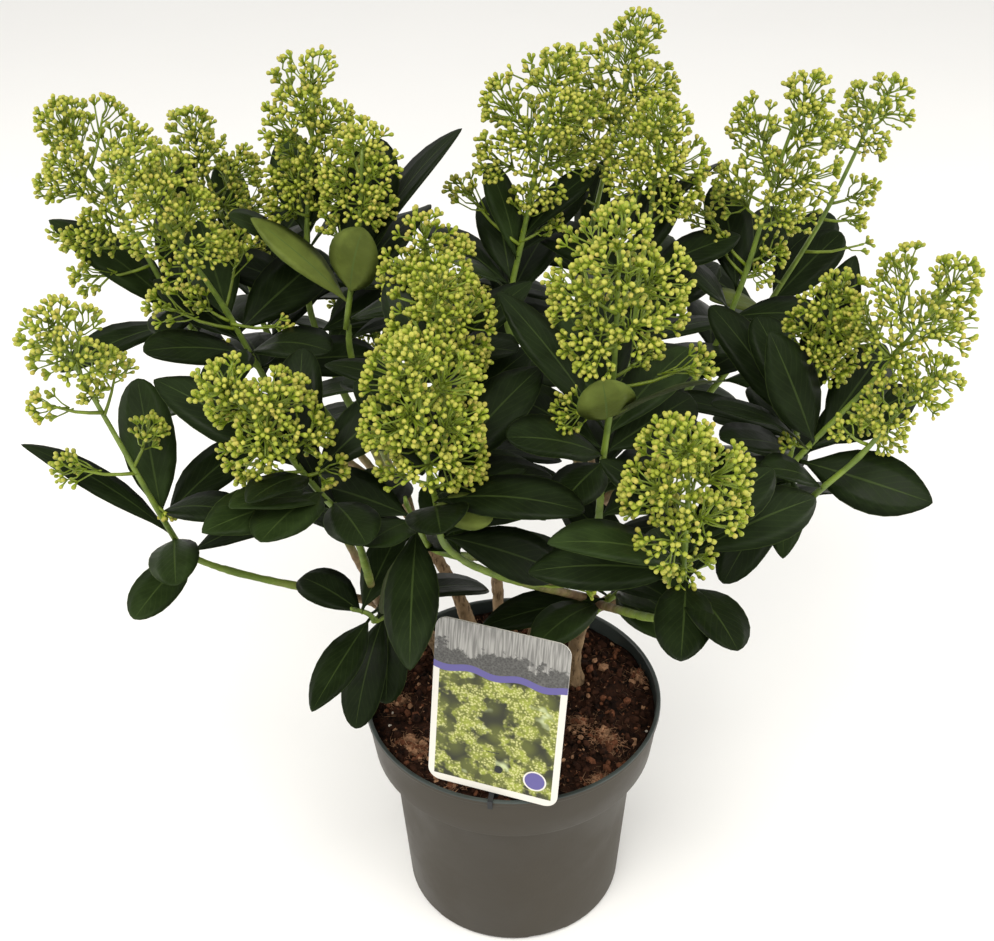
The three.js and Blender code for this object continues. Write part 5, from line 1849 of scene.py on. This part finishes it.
class Bloom:
    """The stalks and buds of one shoot's panicle."""

    def __init__(self, shoot, settings, view):
        self.shoot, self.settings = shoot, settings
        self.rng = np.random.default_rng(BLOOM_SEED + shoot.seed)
        self.stalks, self.stalk_radii = [], []
        self.twigs, self.twig_radii = [], []
        self.buds, self.aims, self.lengths, self.tones = [], [], [], []
        self.cymes, self.count = kdtree.KDTree(MOST_CYMES), 0
        foot = shoot.bloom_foot - shoot.stalk * 0.4
        for root, direction, reach, head in spray_layout(shoot, settings, view):
            at = (root - shoot.start) @ shoot.axis
            if at < foot - 0.01 and shoot.name not in STRAYS:
                root = shoot.at(foot + 0.3 * (at - foot))
            self.spray(root, direction, reach, head)

    def spray(self, root, direction, reach, head):
        """One spray: a stalk that bows a little upward, branchlets to its head's surface, a cyme on each."""
        rng, settings = self.rng, self.settings
        first, second = sides_of(direction)
        centre = root + direction * reach * HEAD_PLACE
        end = centre - direction * head * 0.2
        bow = np.array((0, 0, 1.0)) * reach * 0.05
        middle = (root + end) / 2 - bow
        self.stalks.append(np.stack([root, (root + middle) / 2 - bow * 0.2, middle, (middle + end) / 2, end]))
        self.stalk_radii.append(STALK_RADII)
        tone = rng.random()
        amount = int(round(HEAD_CYMES * (head / FULL_HEAD) ** 2))
        for k in range(amount):
            level = 1 - 1.45 * (k + 0.5) / amount
            turn = math.radians(GOLDEN_ANGLE) * k + rng.normal(0, 0.12)
            level = min(0.99, max(-0.5, level + rng.normal(0, 0.05)))
            ring = math.sqrt(1 - level * level)
            forward = head * (0.85 if level > 0 else 1.25) * level
            out = (first * math.cos(turn) + second * math.sin(turn)) * ring
            place = self.domed(centre + (direction * forward + out * head) * rng.uniform(0.78, 0.96))
            if self.count and self.cymes.find(place)[2] < settings.cyme * rng.uniform(0.85, 1.1):
                continue
            self.cymes.insert(place, self.count)
            self.cymes.balance()
            self.count += 1
            fork = root + (end - root) * lerp(0.98, 0.5, (1 - level) / 1.5)
            self.cyme(fork, place, unit(unit(place - fork) + direction * 0.25 + (0, 0, 0.2)), tone)

    def domed(self, place):
        """The place, moved toward the smooth dome that the outer buds of a panicle make up."""
        shoot = self.shoot
        widest, half, pull = 0.48, 0.62, 0.6
        height = (place - shoot.start) @ shoot.axis
        share = (height - shoot.bloom_foot) / shoot.bloom
        if not 0.1 < share < 1.02:
            return place
        middle = shoot.at(height)
        out = place - middle
        away = np.linalg.norm(out)
        dome = shoot.radius * math.sqrt(1 - ((share - widest) / half) ** 2)
        if not 0.6 < away / dome < 1.6:
            return place
        return middle + out / away * lerp(away, dome * self.rng.uniform(0.94, 1.04), pull)

    def cyme(self, fork, place, outward, tone):
        """Three to five buds on short stalks at the end of a branchlet."""
        rng, settings = self.rng, self.settings
        knot = place - outward * settings.pedicel * 0.9
        bow = (knot + fork) / 2 + rng.normal(0, 0.0007, 3) + (0, 0, -0.0006)
        self.twigs.append(np.stack([fork, bow, knot]))
        self.twig_radii.append(TWIG_RADII)
        first, second = sides_of(outward)
        laterals = int(rng.integers(2, 5))
        turn = rng.random() * 6.283
        aims = [outward + rng.normal(0, 0.12, 3)]
        for side in range(laterals):
            around = turn + side * 2 * math.pi / laterals + rng.normal(0, 0.2)
            spread = rng.uniform(0.75, 1.15)
            aims.append(outward + (first * math.cos(around) + second * math.sin(around)) * spread)
        for aim in aims:
            aim = unit(aim)
            pedicel = settings.pedicel * rng.uniform(0.75, 1.15)
            bud = knot + aim * pedicel
            if not inside_box(bud, BUD_BOX_GAP):
                continue
            self.buds.append(bud)
            self.aims.append(aim)
            self.lengths.append(pedicel)
            pick = rng.random() * 0.7 + tone * 0.3
            self.tones.append(2 * ((pick >= BRIGHT_END) + (pick >= GREEN_END)))


PEDICEL_FOOT = -3.0


def bud_model():
    """A bud of unit radius along +Z on its club-shaped pedicel: slot 0 the petals, slot 1 pedicel and
    calyx."""
    turn_up(5, ((0.32, PEDICEL_FOOT), (0.46, -1.5), (0.86, -0.6), (1.0, 0.1), (0.66, 0.74)))
    bpy.ops.mesh.poke(offset=0.24)
    for face in close_up().data.polygons:
        face.material_index = int(face.center.z < -0.6)
    return Model()


class SKIMMIA_OT_shoots(bpy.types.Operator):
    """Grow the green shoots on from the boughs, up through their leaves into the bloom"""

    bl_idname = "skimmia.shoots"
    bl_label = "Shoots"

    def execute(self, context):
        wood = context.scene.skimmia_wood
        green = plain_finish("green shoot", wood.young, wood.young_deep, scale=90, rough=(0.42, 0.6),
                             grain=Grain(scale=800, strength=0.25, depth=0.0005))
        for stem in STEMS:
            shoots = shoots_of(stem)
            lines, radii = [], []
            for shoot in shoots:
                shares = np.linspace(0, 1, 12)
                line = shoot.start + shoot.axis * (shares * shoot.height)[:, None]
                line[0] -= shoot.axis * 0.002
                first, second = sides_of(shoot.axis)
                sway = 0.0016 * np.sin(shares * 7 + shoot.seed)[:, None] * first
                line += sway + 0.0012 * np.sin(shares * 5 + 2 * shoot.seed)[:, None] * second
                thick = lerp(wood.shoot_foot, wood.shoot_tip, shares)
                knots = np.exp(-((shares * shoot.height - LEAFY_LENGTH * 0.9) / 0.004) ** 2)
                lines.append(line)
                radii.append(thick * (1 + 0.22 * knots))
            add_mesh(f"shoots_{stem}", tubes(np.array(lines), np.array(radii), 9))
            settle(f"shoots_{stem}", [green], "green_wood", *[shoot.node for shoot in shoots])
        return {"FINISHED"}


class SKIMMIA_OT_bloom(bpy.types.Operator):
    """Grow the panicles: sprays of branchlets with a cyme of round buds on each"""

    bl_idname = "skimmia.bloom"
    bl_label = "Bloom"

    def execute(self, context):
        settings = context.scene.skimmia_bloom
        bud = bud_model()
        stalk = plain_finish("spray stalk", settings.stalk, tinted(settings.stalk, 0.6), scale=120,
                             rough=(0.45, 0.6), grain=Grain(scale=1200, strength=0.2, depth=0.0003))
        petals = self.petals(settings)
        view = View(context.scene.skimmia_studio)
        for stem in STEMS:
            blooms = [Bloom(shoot, settings, view) for shoot in shoots_of(stem) if shoot.bloom]
            nodes = [bloom.shoot.node for bloom in blooms]

            def gathered(key):
                return np.array([value for bloom in blooms for value in getattr(bloom, key)])

            add_mesh(f"stalks_{stem}", tubes(gathered("stalks"), gathered("stalk_radii"), 6)
                     + tubes(gathered("twigs"), gathered("twig_radii"), 4))
            settle(f"stalks_{stem}", [stalk], "green_wood", *nodes)
            points = self.laid_out(bud, settings, *(gathered(key) for key in ("buds", "aims", "lengths")))
            add_mesh(f"buds_{stem}", [bud.copies(points, gathered("tones"))])
            settle(f"buds_{stem}", petals, "foliage", *nodes)
        return {"FINISHED"}

    def laid_out(self, bud, settings, centres, aims, lengths):
        """The bud's points at each centre, with the foot of its pedicel drawn back to the knot."""
        rng = np.random.default_rng(BUD_SEED)
        size = settings.bud * rng.uniform(0.82, 1.12, len(centres))
        shaped = np.repeat(bud.points[None], len(centres), axis=0)
        feet = bud.points[:, 2] < PEDICEL_FOOT + 0.1
        shaped[:, feet, 2] = -(lengths / size)[:, None]
        turned = np.stack([*sides_of(aims), aims], axis=-1)
        return np.einsum("nij,ncj->nci", turned, shaped) * size[:, None, None] + centres[:, None]

    def petals(self, settings):
        """Petals and calyx for each of three tones of bud."""
        made = []
        for index, tint in enumerate((settings.bright, settings.deep, settings.amber)):
            made.append(plain_finish(f"bud {index}", tint, tinted(tint, 0.8), scale=420, rough=(0.42, 0.56),
                                     grain=Grain(scale=1500, strength=0.1, depth=0.0003), specular=0.25))
            made.append(plain_finish(f"calyx {index}", tinted(settings.stalk, 1.15), settings.stalk,
                                     scale=300, rough=(0.45, 0.6),
                                     grain=Grain(scale=1200, strength=0.15, depth=0.0003)))
        return made


# Stage


# Each light's place and size, and the point that all of them face
LIGHTS = {
    "key": ((-0.5, -1.1, 1.9), 1.3),
    "fill": ((1.3, -0.9, 1.1), 1.2),
    "left edge": ((-1.5, 0.35, 0.5), 0.9),
    "right edge": ((1.5, 0.35, 0.5), 0.9),
}
LIT_PLACE = (0, 0, 0.32)
SKY_TINT, LIGHT_TINT = (1, 0.988, 0.965, 1), (1, 0.97, 0.92)
FLOOR_SIZE, FLOOR_PLACE = 12, (0, 2, -0.0004)


class SKIMMIA_OT_studio(bpy.types.Operator):
    """Set the pale floor, the soft studio lights and the camera"""

    bl_idname = "skimmia.studio"
    bl_label = "Studio"

    def execute(self, context):
        studio = context.scene.skimmia_studio
        begin()
        bpy.ops.mesh.primitive_plane_add(size=FLOOR_SIZE, location=FLOOR_PLACE)
        floor = context.object
        floor.name = "floor"
        pale = plain_finish("floor", studio.floor, tinted(studio.floor, 0.985), scale=3, rough=(0.8, 0.9))
        floor.data.materials.append(pale)
        world = bpy.data.worlds.new("Studio")
        world.use_nodes = True
        sky = world.node_tree.nodes["Background"].inputs
        sky["Color"].default_value = SKY_TINT
        sky["Strength"].default_value = studio.sky
        context.scene.world = world
        context.scene.view_settings.view_transform = "Standard"
        for name, power in (("key", studio.key), ("fill", studio.fill), ("left edge", studio.edge),
                            ("right edge", studio.edge)):
            self.light(name, *LIGHTS[name], power)
        self.camera(context, studio)
        return {"FINISHED"}

    def light(self, name, place, size, power):
        begin()
        bpy.ops.object.light_add(type="AREA", location=place)
        lamp = bpy.context.object
        lamp.name = lamp.data.name = name
        lamp.data.energy = power
        lamp.data.size = size
        lamp.data.color = LIGHT_TINT
        lamp.rotation_euler = (Vector(LIT_PLACE) - Vector(place)).to_track_quat("-Z", "Y").to_euler()

    def camera(self, context, studio):
        begin()
        bpy.ops.object.camera_add()
        camera = context.object
        camera.name = "camera"
        camera.data.lens = studio.lens
        camera.data.sensor_width = SENSOR_WIDTH
        camera.data.clip_start = 0.01
        view = View(studio)
        turn = Matrix((view.across, view.upward, view.back)).transposed().to_4x4()
        camera.matrix_world = Matrix.Translation(view.place) @ turn
        context.scene.camera = camera


class SKIMMIA_PT_panel(bpy.types.Panel):
    """The pieces of the potted skimmia"""

    bl_idname = "SKIMMIA_PT_panel"
    bl_label = "Potted skimmia"
    bl_space_type = "VIEW_3D"
    bl_region_type = "UI"
    bl_category = "Skimmia"

    def draw(self, context):
        for operator in OPERATORS:
            self.layout.operator(operator.bl_idname)
        for name in GROUPS:
            box = self.layout.box()
            settings = getattr(context.scene, name)
            for key in settings.bl_rna.properties.keys():
                if key not in {"rna_type", "name"}:
                    box.prop(settings, key)


GROUPS = {
    "skimmia_pot": PotSettings,
    "skimmia_soil": SoilSettings,
    "skimmia_label": LabelSettings,
    "skimmia_wood": WoodSettings,
    "skimmia_leaves": LeafSettings,
    "skimmia_bloom": BloomSettings,
    "skimmia_studio": StudioSettings,
}
OPERATORS = (SKIMMIA_OT_pot, SKIMMIA_OT_soil, SKIMMIA_OT_label, SKIMMIA_OT_wood, SKIMMIA_OT_shoots,
             SKIMMIA_OT_leaves, SKIMMIA_OT_bloom, SKIMMIA_OT_studio)


def register():
    for name, settings in GROUPS.items():
        bpy.utils.register_class(settings)
        setattr(bpy.types.Scene, name, PointerProperty(type=settings))
    for operator in OPERATORS:
        bpy.utils.register_class(operator)
    bpy.utils.register_class(SKIMMIA_PT_panel)


def unregister():
    bpy.utils.unregister_class(SKIMMIA_PT_panel)
    for operator in reversed(OPERATORS):
        bpy.utils.unregister_class(operator)
    for name, settings in reversed(list(GROUPS.items())):
        delattr(bpy.types.Scene, name)
        bpy.utils.unregister_class(settings)


def main():
    register()
    mottle_group()
    relief_group()
    vein_group()
    for operator in OPERATORS:
        family, name = operator.bl_idname.split(".")
        getattr(getattr(bpy.ops, family), name)()


if __name__ == "__main__":
    main()
